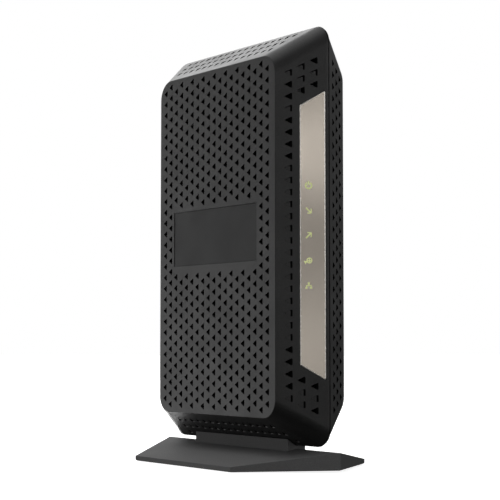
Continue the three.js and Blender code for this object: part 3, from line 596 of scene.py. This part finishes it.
# Painted shade: a near-black, dull finish, darker than the shell, put on the vents' walls and the seam's
# faces where shade falls.
VENT_PAINTED_SHADE = grained_plastic("vent_painted_shade", (0.002,) * 3, (0.004,) * 3, 0.8, 0.45, 0.01)
shader_of(VENT_PAINTED_SHADE).inputs["Specular IOR Level"].default_value = 0.05
BADGE = grained_plastic("badge_plastic", (0.005,) * 3, (0.009,) * 3, 0.52, 0.3, 0.006)
shader_of(BADGE).inputs["Specular IOR Level"].default_value = 0.36
DARK = grained_plastic("dark_plastic", (0.007,) * 3, (0.013,) * 3, 0.45, 0.4, 0.01)
PANEL = panel_material()
PAINTED_RIM_HIGHLIGHT = painted_rim_highlight_material()
SYMBOL = symbol_material()
RUBBER = rubber_material()
BOARD = board_material()
CLEAR = clear_material()
CHIP = speckled("chip_black", (0.008,) * 3, (0.016, 0.016, 0.017), 0.5, 0.3)
AMBER = speckled("link_amber", (0.45, 0.2, 0.03), (0.6, 0.3, 0.05), 0.3, 0.4, 0.003)
GREEN_LENS = speckled("link_green", (0.12, 0.3, 0.05), (0.2, 0.42, 0.09), 0.3, 0.4, 0.003)
WHITE = speckled("white_plastic", (0.62, 0.61, 0.58), (0.74, 0.73, 0.7), 0.45, 0.6)
PAD = speckled("pad_grey", (0.2, 0.23, 0.28), (0.28, 0.31, 0.37), 0.85, 0.5, 0.03)
SLEEVE = speckled("can_sleeve", (0.012, 0.018, 0.03), (0.02, 0.028, 0.045), 0.35, 0.8)
FERRITE = speckled("ferrite", (0.03, 0.03, 0.032), (0.06, 0.06, 0.062), 0.7, 0.3, 0.03)
ALUMINIUM = metal("aluminium", (0.66, 0.67, 0.68), 0.38, 0.3, (1, 1, 14))
NICKEL = metal("nickel", (0.6, 0.58, 0.54), 0.26, 0.5, (1, 8, 1))
GOLD = metal("gold", (0.83, 0.6, 0.24), 0.25, 0.4, (1, 6, 1))
STEEL = metal("screw_steel", (0.5, 0.5, 0.51), 0.33)


# ---------------------------------------------------------------- the case's shape

def case_ring(side, out, grow):
    """The case outline on one side of the seam, at a distance from it, grown or shrunk in its plane."""
    share = out / HALF_THICKNESS
    front = SEAM["front"] + RUN["front"] * share - grow
    rear = SEAM["rear"] - RUN["rear"] * share + grow
    low = SEAM["low"] + RUN["low"] * share - grow
    high = SEAM["high"] - RUN["high"] * share + grow
    radii = [radius + grow for radius in CORNER_RADII]
    outline = rounded(rectangle((front, rear), (low, high)), radii, CORNER_STEPS)
    return along("x", outline, side * out)


def case_section(side):
    """Half the case wall's section as (distance from the seam, growth of the outline) pairs."""
    slope = Vector((1, -MEAN_SLOPE))
    inward = Vector((0, -1))
    broad_edge = Vector((HALF_THICKNESS, -MEAN_SLOPE * HALF_THICKNESS))
    lip = []
    for step in range(LIP_STEPS + 1):
        share = step / LIP_STEPS
        lip.append((SEAM_GAP / 2 + LIP_LENGTH[side] * share, -LIP_DROP[side] * (1 - share) ** 2))
    edge = fillet(broad_edge, -slope, inward, EDGE_RADIUS, EDGE_STEPS)
    outer = lip + [(point.x, point.y + MEAN_SLOPE * point.x) for point in edge]
    inner = [
        (HALF_THICKNESS - WALL, -WALL_IN_PLANE),
        (TONGUE_REACH[side], -WALL_IN_PLANE),
        (TONGUE_REACH[side], -TONGUE_TOP[side]),
        (SEAM_GAP / 2, -TONGUE_TOP[side]),
    ]
    return inner + outer


def slope_point(edge, out):
    """The height of an edge slope, at a distance from the seam: Y for front and rear, Z for low and high."""
    sign = 1 if edge in ("front", "low") else -1
    return SEAM[edge] + sign * RUN[edge] * out / HALF_THICKNESS


# ---------------------------------------------------------------- vents

def vent_outline(pointing):
    """A small triangle with rounded corners, centred between its flat side and its apex."""
    circumradius = VENT_SIDE / math.sqrt(3)
    shift = circumradius / 4
    corners = []
    for third in range(3):
        angle = pointing + third * 2 * math.pi / 3
        corners.append((circumradius * math.cos(angle), circumradius * math.sin(angle)))
    moved = [(u - shift * math.cos(pointing), v - shift * math.sin(pointing)) for u, v in corners]
    return rounded(moved, VENT_ROUNDING, 2)


def add_vent(mesh, centre, outline, on_surface, inward, levels=VENT_LEVELS):
    """Adds the cutter of one vent: a prism that follows the surface, with a scale at each depth."""
    rings = []
    for offset, scale in levels:
        ring = []
        for u, v in outline:
            point = Vector(on_surface(centre[0] + u * scale, centre[1] + v * scale))
            ring.append(point + Vector(inward) * offset)
        rings.append(ring)
    add_loft(mesh, rings)


def add_broad_vents(mesh, side, keep):
    """The staggered lattice of vents in a broad face. `keep` says which columns and rows are cut."""
    outline = vent_outline(0)
    for column in range(VENT_COLUMNS):
        y = VENT_MIDDLE_Y + (VENT_COLUMNS // 2 - column) * COLUMN_PITCH
        odd = column % 2
        for row in range(-odd, VENT_HALF_ROWS, 2):
            if keep(column, row):
                z = VENT_TOP_Z - row * VENT_PITCH / 2
                add_vent(
                    mesh, (y, z), outline,
                    lambda u, v: (side * HALF_THICKNESS, u, v), (-side, 0, 0),
                )


def add_edge_vents(mesh, side, edge, out, places, levels=VENT_LEVELS):
    """One row of vents in an edge slope: a vent at each place along the edge, `out` from the seam."""
    outline = vent_outline(0 if side > 0 else math.pi)
    sign = 1 if edge in ("front", "low") else -1
    upright = edge in ("front", "rear")

    def on_surface(x, across):
        height = slope_point(edge, abs(x))
        return (x, height, across) if upright else (x, across, height)

    inward = (0, sign, 0) if upright else (0, 0, sign)
    for across in places:
        add_vent(mesh, (side * out, across), outline, on_surface, inward, levels)


def heights(first, last):
    """Vent heights along a slope, counted in whole pitches down from the top of the lattice."""
    count = round(last - first) + 1
    return [VENT_TOP_Z - (first + i) * VENT_PITCH for i in range(count)]


def row_along(middle, count):
    return [middle + (i - (count - 1) / 2) * VENT_PITCH for i in range(count)]


def add_top_vents(mesh, side):
    for out, count in TOP_ROWS:
        add_edge_vents(mesh, side, "high", out, row_along(TOP_MIDDLE_Y, count))


def add_bottom_vents(mesh, side):
    for out, count in BOTTOM_ROWS:
        places = row_along(BOTTOM_MIDDLE_Y, count)
        if out < NECK_HALF_THICKNESS:
            places = [y for y in places if abs(y) > NECK_HALF_LENGTH + VENT_SIDE / 2]
        add_edge_vents(mesh, side, "low", out, places)


def add_left_front_vents(mesh):
    for out, steps in LEFT_FRONT_STEPS.items():
        for step in steps:
            if step in LEFT_FRONT_THROUGH[out]:
                add_edge_vents(mesh, -1, "front", out, heights(step, step))


def left_front_filled_vents():
    """Cutter of the vents with a shelf just below the surface, which leaves a slit on two sides."""
    vents = bmesh.new()
    shelves = bmesh.new()
    for out, steps in LEFT_FRONT_STEPS.items():
        for step in steps:
            if step not in LEFT_FRONT_THROUGH[out]:
                place_z = heights(step, step)[0]
                add_edge_vents(vents, -1, "front", out, (place_z,))
                shelf_z = place_z - SHELF_DROP * (1 - step / SHELF_LAST_STEP)
                add_edge_vents(shelves, -1, "front", out + SHELF_SHIFT, (shelf_z,), SHELF_LEVELS)
    # The filled vents' walls get the painted shade.
    set_slot(vents, PAINTED_SHADE_SLOT)
    cutter = new_piece("filled_vents", vents, slots=2)
    combine(cutter, shelves, "DIFFERENCE")
    mesh = bmesh.new()
    mesh.from_mesh(cutter.data)
    discard(cutter)
    return mesh


def add_right_front_vents(mesh):
    add_edge_vents(mesh, 1, "front", EDGE_ROWS[0], heights(-0.5, 28.5))
    add_edge_vents(mesh, 1, "front", EDGE_ROWS[1], heights(0, 28))
    add_edge_vents(mesh, 1, "front", EDGE_ROWS[2], heights(0.5, 27.5))


def clear_of_badge(column, row):
    return column not in BADGE_COLUMNS or row not in BADGE_HALF_ROWS


# ---------------------------------------------------------------- status panel's place on the slope

def onto_slope(z, along_slope, out):
    """A point on the left front slope from its height, distance from the seam and distance out."""
    x = -along_slope * math.cos(SLOPE_ANGLE) - out * math.sin(SLOPE_ANGLE)
    y = SEAM["front"] + along_slope * math.sin(SLOPE_ANGLE) - out * math.cos(SLOPE_ANGLE)
    return (x, y, z)


def panel_ring(margin, out):
    """The panel's outline, grown or shrunk by a margin, at a distance out of the slope."""
    near = PANEL_HALF_HEIGHT_NEAR + margin
    far = PANEL_HALF_HEIGHT_FAR + margin
    corners = [
        (PANEL_MIDDLE_Z - near, PANEL_NEAR - margin),
        (PANEL_MIDDLE_Z + near, PANEL_NEAR - margin),
        (PANEL_MIDDLE_Z + far, PANEL_FAR + margin),
        (PANEL_MIDDLE_Z - far, PANEL_FAR + margin),
    ]
    return [onto_slope(z, distance, out) for z, distance in rounded(corners, PANEL_CORNER, 3)]


# ---------------------------------------------------------------- half shells

def shell_body(name, side):
    mesh = bmesh.new()
    add_loft(mesh, [case_ring(side, out, grow) for out, grow in case_section(side)])
    # The seam's faces get the painted shade.
    for face in mesh.faces:
        if abs(face.calc_center_median().x) < SEAM_FACE_REACH:
            face.material_index = PAINTED_SHADE_SLOT
    piece = new_piece(name, mesh, slots=2)
    add_pocket_ends(piece, side)
    cut_pocket(piece)
    return piece


def add_pocket_ends(piece, side):
    """The two small walls that close the ends of the connector pocket."""
    back = box_mm("rear_panel")[0].y - WALL
    near = GAP / 2
    lip = near + POCKET_END_LIP
    far = POCKET_HALF_WIDTH + POCKET_END_WALL
    outline = [
        (side * near, back),
        (side * far, back),
        (side * far, slope_point("rear", far)),
        (side * lip, slope_point("rear", lip)),
        (side * near, slope_point("rear", lip)),
    ]
    for low in (POCKET_LOW - POCKET_END_WALL, POCKET_HIGH):
        mesh = bmesh.new()
        add_prism(mesh, "z", outline, (low, low + POCKET_END_WALL))
        combine(piece, mesh, "UNION")


def cut_pocket(piece):
    depth = (box_mm("rear_panel")[0].y - GAP, SEAM["rear"] + PAST)
    mesh = bmesh.new()
    add_box(mesh, (-POCKET_HALF_WIDTH, POCKET_HALF_WIDTH), depth, (POCKET_LOW, POCKET_HIGH))
    combine(piece, mesh, "DIFFERENCE")


def cut_vents(piece, side, keep, add_front_vents):
    """Cuts a half shell's vents. Their walls get a painted shade, apart from the bottom ones, added last,
    which have walls in the shell's own finish.
    """
    vents = bmesh.new()
    add_broad_vents(vents, side, keep)
    add_front_vents(vents)
    add_edge_vents(vents, side, "rear", REAR_ROW, heights(0.5, 27.5))
    add_top_vents(vents, side)
    set_slot(vents, PAINTED_SHADE_SLOT)
    add_bottom_vents(vents, side)
    combine(piece, vents, "DIFFERENCE")


def left_shell():
    piece = shell_body("left_shell_skin", -1)
    posts = bmesh.new()
    for number in range(1, 5):
        centre = middle_mm(f"board_screw_{number}")
        span = (-HALF_THICKNESS + WALL / 2, box_mm("main_board")[0].x - GAP)
        add_prism(posts, "x", circle(POST_RADIUS, 32, (centre.y, centre.z)), span)
    combine(piece, posts, "UNION")
    cuts = bmesh.new()
    badge_low, badge_high = box_mm("badge_plate")
    add_box(
        cuts,
        (-HALF_THICKNESS - PAST, badge_high.x + GAP),
        (badge_low.y - BADGE_GAP, badge_high.y + BADGE_GAP),
        (badge_low.z - BADGE_GAP, badge_high.z + BADGE_GAP),
    )
    add_loft(cuts, [panel_ring(PANEL_GAP, out) for out in (PANEL_BACK - GAP, PAST)])
    combine(piece, cuts, "DIFFERENCE")
    cut_vents(piece, -1, clear_of_badge, add_left_front_vents)
    combine(piece, left_front_filled_vents(), "DIFFERENCE")
    smooth(piece)
    place(piece, "case", "shell_plastic", [SHELL, VENT_PAINTED_SHADE], "left_shell")


def right_shell():
    piece = shell_body("right_shell_skin", 1)
    cut_vents(piece, 1, lambda column, row: True, add_right_front_vents)
    smooth(piece)
    place(piece, "case", "shell_plastic", [SHELL, VENT_PAINTED_SHADE], "right_shell")


left_shell()
right_shell()


# ---------------------------------------------------------------- badge plate and status panel

def badge_plate():
    low, high = box_mm("badge_plate")
    low.x = BADGE_SUNK - HALF_THICKNESS
    mesh = bmesh.new()
    outline = rounded(rectangle((low.y, high.y), (low.z, high.z)), BADGE_CORNER, 3)
    add_prism(mesh, "x", outline, (low.x, high.x))
    piece = new_piece("badge_plate_face", mesh)
    round_edges(piece, BADGE_EDGE)
    smooth(piece)
    place(piece, "case", "badge_plastic", [BADGE], "badge_plate")


def status_panel():
    """A thin plate whose edge is cut back to a rim with a painted highlight. The last face of the loft is
    its front.
    """
    mesh = bmesh.new()
    add_loft(mesh, [panel_ring(margin, out) for margin, out in PANEL_LEVELS])
    piece = new_piece("status_panel_face", mesh, slots=2)
    smooth(piece, 60)
    front = len(piece.data.polygons) - 1
    for polygon in piece.data.polygons:
        polygon.material_index = 0 if polygon.index == front else 1
    place(piece, "case", "panel_finish", [PANEL, PAINTED_RIM_HIGHLIGHT], "status_panel")


badge_plate()
status_panel()


# ---------------------------------------------------------------- status symbols

def arc_band(outer, inner, first, last, centre=(0, 0), steps=28):
    """Part of a ring, between two angles in degrees."""
    points = []
    for radius, turns in ((outer, range(steps + 1)), (inner, range(steps, -1, -1))):
        for i in turns:
            angle = math.radians(first + (last - first) * i / steps)
            points.append((centre[0] + radius * math.cos(angle), centre[1] + radius * math.sin(angle)))
    return points


def bar(start, end, width):
    """A straight stroke between two points."""
    a, b = Vector(start), Vector(end)
    side = (b - a).normalized().orthogonal() * (width / 2)
    return [tuple(a + side), tuple(a - side), tuple(b - side), tuple(b + side)]


def arrow_head(tip, toward, size):
    """A triangle with its tip at a point, pointing in a direction."""
    ahead = Vector(toward).normalized()
    across = ahead.orthogonal() * size * ARROW_HALF_WIDTH
    base = Vector(tip) - ahead * size
    return [tuple(tip), tuple(base + across), tuple(base - across)]


def square(centre, half):
    return rectangle((centre[0] - half, centre[0] + half), (centre[1] - half, centre[1] + half))


def power_strokes():
    return [arc_band(1.8, 1.0, 118, 422), bar((0, 0.1), (0, 2.0), 0.75)]


def arrow_strokes(upward):
    """A slanting arrow with an open head."""
    tip = (1.25, 1.3 * upward)
    shaft = bar((-1.2, -1.25 * upward), (1.1, 1.15 * upward), 0.75)
    return [shaft, bar((-0.6, 1.25 * upward), tip, 0.5), bar((1.2, -0.8 * upward), tip, 0.55)]


def globe_strokes():
    """A globe with a pointer at its lower left."""
    middle_u = 0.3
    ring = [arc_band(1.4, 0.85, first, first + 180, (middle_u, 0)) for first in (0, 180)]
    lines = [bar((-0.9, -0.15), (1.5, -0.15), 0.5), bar((middle_u, -1.2), (middle_u, 1.2), 0.45)]
    return ring + lines + [arrow_head((-0.6, -0.3), (1, 0.5), 1.5)]


def network_strokes():
    """Three linked boxes."""
    boxes = [square((0, 1.05), 0.5), square((-1.05, -1.0), 0.5), square((1.05, -1.0), 0.5)]
    lines = [bar((0, 0.8), (0, -0.1), 0.5), bar((-1.3, 0), (1.3, 0), 0.5)]
    drops = [bar((side, 0.2), (side, -0.8), 0.5) for side in (-1.05, 1.05)]
    return boxes + lines + drops


SYMBOL_STROKES = {
    "power_symbol": power_strokes(),
    "downstream_symbol": arrow_strokes(-1),
    "upstream_symbol": arrow_strokes(1),
    "internet_symbol": globe_strokes(),
    "network_symbol": network_strokes(),
}


def symbol(node, strokes):
    """The inlaid ink of one status symbol."""
    centre = middle_mm(node)
    middle_out = (PANEL_PROUD + PANEL_BACK) / 2
    along_slope = -(centre.x + middle_out * math.sin(SLOPE_ANGLE)) / math.cos(SLOPE_ANGLE)
    piece = None
    for i, stroke in enumerate(strokes):
        deep = PANEL_PROUD - INK_DEPTH - i * INK_DEPTH_STEP
        proud = PANEL_PROUD + INK_PROUD + i * INK_PROUD_STEP
        mesh = bmesh.new()
        rings = []
        for out in (deep, proud):
            rings.append([onto_slope(centre.z + v, along_slope - u, out) for u, v in stroke])
        add_loft(mesh, rings)
        if piece is None:
            piece = new_piece(node + "_ink", mesh)
        else:
            combine(piece, mesh, "UNION")
    smooth(piece)
    place(piece, "case", "symbol_green", [SYMBOL], node)


for symbol_node, symbol_strokes in SYMBOL_STROKES.items():
    symbol(symbol_node, symbol_strokes)


# ---------------------------------------------------------------- stand and feet

def stand_plate():
    """A six-cornered plate with a gable top and a slightly arched underside."""
    low, high = box_mm("stand")
    plan = [
        (0, low.y),
        (high.x, -STAND_SIDE_HALF_LENGTH),
        (high.x, STAND_SIDE_HALF_LENGTH),
        (0, high.y),
        (low.x, STAND_SIDE_HALF_LENGTH),
        (low.x, -STAND_SIDE_HALF_LENGTH),
    ]
    mesh = bmesh.new()
    rings = {"top": [], "belt": [], "under": []}
    for x, y in plan:
        on_ridge = x == 0
        under_z = STAND_UNDER_MIDDLE_Z if on_ridge else STAND_UNDER_SIDE_Z
        share = STAND_UNDERCUT_SHARE
        rings["top"].append(mesh.verts.new((x, y, STAND_RIDGE_Z if on_ridge else STAND_SIDE_Z)))
        rings["belt"].append(mesh.verts.new((x, y, under_z + STAND_UNDERCUT)))
        rings["under"].append(mesh.verts.new((x * share, y * share, under_z)))
    for level in (rings["top"], rings["under"]):
        mesh.faces.new(level[:4])
        mesh.faces.new(level[3:] + level[:1])
    for lower, upper in ((rings["under"], rings["belt"]), (rings["belt"], rings["top"])):
        for i in range(len(plan)):
            j = (i + 1) % len(plan)
            mesh.faces.new((lower[i], lower[j], upper[j], upper[i]))
    return new_piece("stand_body", mesh)


def stand():
    piece = stand_plate()
    neck = bmesh.new()
    top_z = slope_point("low", NECK_HALF_THICKNESS) - GAP
    middle_z = SEAM["low"] - GAP
    section = [
        (-NECK_HALF_THICKNESS, STAND_RIDGE_Z / 2),
        (NECK_HALF_THICKNESS, STAND_RIDGE_Z / 2),
        (NECK_HALF_THICKNESS, top_z),
        (0, middle_z),
        (-NECK_HALF_THICKNESS, top_z),
    ]
    add_prism(neck, "y", section, (-NECK_HALF_LENGTH, NECK_HALF_LENGTH))
    combine(piece, neck, "UNION")
    merge_flat_faces(piece)
    round_edges(piece, STAND_ROUNDING, 3, 20)
    pockets = bmesh.new()
    for number in range(1, 5):
        centre = middle_mm(f"rubber_foot_{number}")
        low, high = box_mm(f"rubber_foot_{number}")
        foot = circle(centre.x - low.x + GAP, 48, centre.xy)
        add_prism(pockets, "z", foot, (-PAST, high.z + GAP))
    for number in (1, 2):
        centre = middle_mm(f"stand_screw_{number}")
        head_top = box_mm(f"stand_screw_{number}")[0].z + SCREW_HEAD_DEPTH
        add_prism(pockets, "z", circle(SCREW_HEAD_RADIUS, 40, centre.xy), (-PAST, head_top))
        add_prism(pockets, "z", circle(SCREW_HOLE_RADIUS, 24, centre.xy), (-2 * PAST, SCREW_HOLE_DEPTH))
    combine(piece, pockets, "DIFFERENCE")
    smooth(piece, 24)
    place(piece, "case", "stand_plastic", [STAND], "stand")


def turned(profile, axis, centre, sides=48):
    """A round body from (radius, distance along the axis) pairs, about a centre on the other two axes."""
    mesh = bmesh.new()
    add_loft(mesh, [along(axis, circle(radius, sides, centre), distance) for radius, distance in profile])
    return mesh


def rubber_foot(node):
    """A disc with a rounded edge and a shallow dish in its underside."""
    low, high = box_mm(node)
    radius = (high.x - low.x) / 2
    centre = ((low.x + high.x) / 2, (low.y + high.y) / 2)
    profile = [
        (radius * FOOT_DISH_SHARE, FOOT_DISH),
        (radius * FOOT_RING_SHARES[0], 0),
        (radius * FOOT_RING_SHARES[1], 0),
        (radius, FOOT_EDGE),
        (radius, high.z - FOOT_TOP_EDGE),
        (radius - FOOT_TOP_EDGE, high.z),
    ]
    piece = new_piece(node + "_pad", turned(profile, "z", centre))
    smooth(piece, 50)
    place(piece, "case", "foot_rubber", [RUBBER], node)


stand()
for foot_number in range(1, 5):
    rubber_foot(f"rubber_foot_{foot_number}")


# ---------------------------------------------------------------- connector panel

def outline_from_behind(node, margin=0.0):
    """The rectangle round a node as seen from behind, grown or shrunk by a margin."""
    low, high = box_mm(node)
    return rectangle((low.x - margin, high.x + margin), (low.z - margin, high.z + margin))


def rear_panel():
    """A plate with an opening for each connector and button."""
    low, high = box_mm("rear_panel")
    outline = rounded(outline_from_behind("rear_panel"), REAR_PANEL_CORNER, 3)
    mesh = bmesh.new()
    add_prism(mesh, "y", outline, (low.y, high.y))
    piece = new_piece("rear_panel_plate", mesh)
    openings = bmesh.new()
    through = (low.y - PAST, high.y + PAST)
    add_prism(openings, "y", outline_from_behind("ethernet_jack", GAP), through)
    for node, radius in ROUND_OPENINGS.items():
        centre = middle_mm(node)
        add_prism(openings, "y", circle(radius + GAP, 48, (centre.x, centre.z)), through)
    button = rounded(outline_from_behind("power_button", GAP - BUTTON_LIP), BUTTON_CORNER, 6)
    add_prism(openings, "y", button, through)
    combine(piece, openings, "DIFFERENCE")
    merge_flat_faces(piece)
    round_edges(piece, REAR_PANEL_EDGE, 2, 40)
    smooth(piece)
    place(piece, "case", "dark_plastic", [DARK], "rear_panel")


def coax_barrel():
    """The base block and a barrel with a real helical thread and a chamfered end."""
    low, high = box_mm("coax_connector")
    middle = middle_mm("coax_contact")
    centre = (middle.x, middle.z)
    sides = 48
    core = COAX_RADIUS - THREAD_DEPTH
    across, back = THREAD_CHAMFER
    end = high.y - back
    rings = [along("y", circle(COAX_RADIUS, sides, centre), COAX_BARREL_START)]
    y = THREAD_START
    while y < end:
        depth = THREAD_DEPTH * min(1, (y - THREAD_START) / THREAD_PITCH)
        ring = []
        for i in range(sides):
            angle = 2 * math.pi * i / sides
            phase = (y / THREAD_PITCH - i / sides) % 1
            radius = COAX_RADIUS - depth * abs(2 * phase - 1)
            ring.append((middle.x + radius * math.cos(angle), y, middle.z + radius * math.sin(angle)))
        rings.append(ring)
        y += THREAD_PITCH / THREAD_STEPS
    for radius, distance in ((core, end), (core - across, high.y)):
        rings.append(along("y", circle(radius, sides, centre), distance))
    mesh = bmesh.new()
    add_loft(mesh, rings)
    piece = new_piece("coax_barrel", mesh)
    base = bmesh.new()
    half = COAX_BASE_HALF_WIDTH
    add_box(base, (low.x, half), (low.y, COAX_BASE_END), (middle.z - half, middle.z + half))
    combine(piece, base, "UNION")
    bore = bmesh.new()
    add_prism(bore, "y", circle(COAX_BORE_RADIUS, sides, centre), (COAX_BORE_START, high.y + PAST))
    combine(piece, bore, "DIFFERENCE")
    smooth(piece, 50)
    place(piece, "case", "nickel", [NICKEL], "coax_connector")


rear_panel()
coax_barrel()


# ---------------------------------------------------------------- frame nodes that keep their shape

FINISHES = {
    BOARD: ("main_board",),
    CHIP: ("main_processor", "memory_chip_1", "memory_chip_2", "flash_chip", "ethernet_transformer"),
    FERRITE: ("power_inductor_1", "power_inductor_2"),
    SLEEVE: ("capacitor_1", "capacitor_2"),
    PAD: ("thermal_pad",),
    ALUMINIUM: ("heatsink",),
    WHITE: (
        "heatsink_pin_1", "heatsink_pin_2", "coax_insulator", "reset_button",
        "status_light_1", "status_light_2", "status_light_3", "status_light_4", "status_light_5",
    ),
    NICKEL: ("tuner_shield_frame", "tuner_shield_lid", "coax_nut", "power_jack_pin"),
    GOLD: ("ethernet_contacts", "coax_contact"),
    STEEL: tuple(f"board_screw_{i}" for i in range(1, 5)) + ("stand_screw_1", "stand_screw_2"),
    DARK: ("ethernet_jack", "power_jack", "power_switch", "reset_switch", "light_guide_holder"),
    STAND: ("power_button",),
    CLEAR: ("light_guide",),
    GREEN_LENS: ("link_light_1",),
    AMBER: ("link_light_2",),
}


def finish_node(name, material, width=0.12):
    """Gives a frame node its material and rounds its edges without touching its own mesh."""
    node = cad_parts[name]
    node.data.materials.clear()
    node.data.materials.append(material)
    node.data.shade_smooth()
    weld = node.modifiers.new("weld", "WELD")
    weld.merge_threshold = 1e-6
    flat = node.modifiers.new("flat", "DECIMATE")
    flat.decimate_type = "DISSOLVE"
    flat.angle_limit = math.radians(0.5)
    edges = node.modifiers.new("rounding", "BEVEL")
    edges.width = width * MM
    edges.segments = 2
    edges.limit_method = "ANGLE"
    edges.angle_limit = math.radians(35)
    normals = node.modifiers.new("normals", "WEIGHTED_NORMAL")
    normals.mode = "FACE_AREA"


for finish, names in FINISHES.items():
    for node_name in names:
        finish_node(node_name, finish)


# ---------------------------------------------------------------- stage, light and camera

def soft_light(name, where, size, radiance, target):
    """A rectangular soft light that faces the target. Its power follows from its size."""
    data = bpy.data.lights.new(name, "AREA")
    data.shape = "RECTANGLE"
    data.size, data.size_y = size
    data.energy = radiance * math.pi * size[0] * size[1]
    lamp = bpy.data.objects.new(name, data)
    lamp.location = where
    lamp.rotation_euler = (Vector(target) - Vector(where)).to_track_quat("-Z", "Y").to_euler()
    lamp.visible_camera = False
    bpy.context.scene.collection.objects.link(lamp)


def floor():
    """A pale floor that takes no part in lighting the object, and glows into plain white further out."""
    mesh = bmesh.new()
    bmesh.ops.create_circle(mesh, cap_ends=True, radius=FLOOR_RADIUS, segments=64)
    data = bpy.data.meshes.new("floor")
    mesh.to_mesh(data)
    mesh.free()
    ground = bpy.data.objects.new("floor", data)
    bpy.context.scene.collection.objects.link(ground)
    pale = surface("pale_floor", (0.9, 0.9, 0.9), 0.9)
    nodes = pale.node_tree.nodes
    where = nodes.new("ShaderNodeTexCoord")
    distance = nodes.new("ShaderNodeVectorMath")
    distance.operation = "LENGTH"
    pale.node_tree.links.new(where.outputs["Object"], distance.inputs[0])
    glow = remap(pale, distance.outputs["Value"], *FLOOR_GLOW, *FLOOR_FADE)
    pale.node_tree.links.new(glow, shader_of(pale).inputs["Emission Strength"])
    shader_of(pale).inputs["Emission Color"].default_value = (1, 1, 1, 1)
    data.materials.append(pale)
    ground.visible_diffuse = False
    ground.visible_glossy = False
    ground.visible_shadow = False


def sky():
    """White where the camera looks. What it lights with is a dim fill that fades to the horizon."""
    world = bpy.data.worlds.new("studio")
    world.use_nodes = True
    bpy.context.scene.world = world
    nodes = world.node_tree.nodes
    links = world.node_tree.links
    where = nodes.new("ShaderNodeTexCoord")
    split = nodes.new("ShaderNodeSeparateXYZ")
    above = nodes.new("ShaderNodeMapRange")
    above.inputs["From Min"].default_value = SKY_FADE[0]
    above.inputs["From Max"].default_value = SKY_FADE[1]
    above.inputs["To Max"].default_value = SKY_FILL
    links.new(where.outputs["Generated"], split.inputs["Vector"])
    links.new(split.outputs["Z"], above.inputs["Value"])
    fill = nodes["Background"]
    fill.inputs["Color"].default_value = (1, 1, 1, 1)
    links.new(above.outputs["Result"], fill.inputs["Strength"])
    white = nodes.new("ShaderNodeBackground")
    white.inputs["Color"].default_value = (1, 1, 1, 1)
    path = nodes.new("ShaderNodeLightPath")
    mix = nodes.new("ShaderNodeMixShader")
    links.new(path.outputs["Is Camera Ray"], mix.inputs["Fac"])
    links.new(fill.outputs["Background"], mix.inputs[1])
    links.new(white.outputs["Background"], mix.inputs[2])
    links.new(mix.outputs["Shader"], nodes["World Output"].inputs["Surface"])


def camera():
    data = bpy.data.cameras.new("camera")
    data.sensor_width = 36
    data.lens = CAMERA_LENS
    eye = bpy.data.objects.new("camera", data)
    eye.location = CAMERA_PLACE
    eye.rotation_euler = (math.radians(90 + CAMERA_RISE), 0, math.radians(CAMERA_TURN))
    bpy.context.scene.collection.objects.link(eye)
    bpy.context.scene.camera = eye


middle = (cad_box[0] + cad_box[1]) / 2
for light_name, (light_place, light_size, light_radiance) in LIGHTS.items():
    soft_light(light_name, light_place, light_size, light_radiance, middle)
floor()
sky()
camera()
bpy.context.scene.view_settings.view_transform = "Standard"
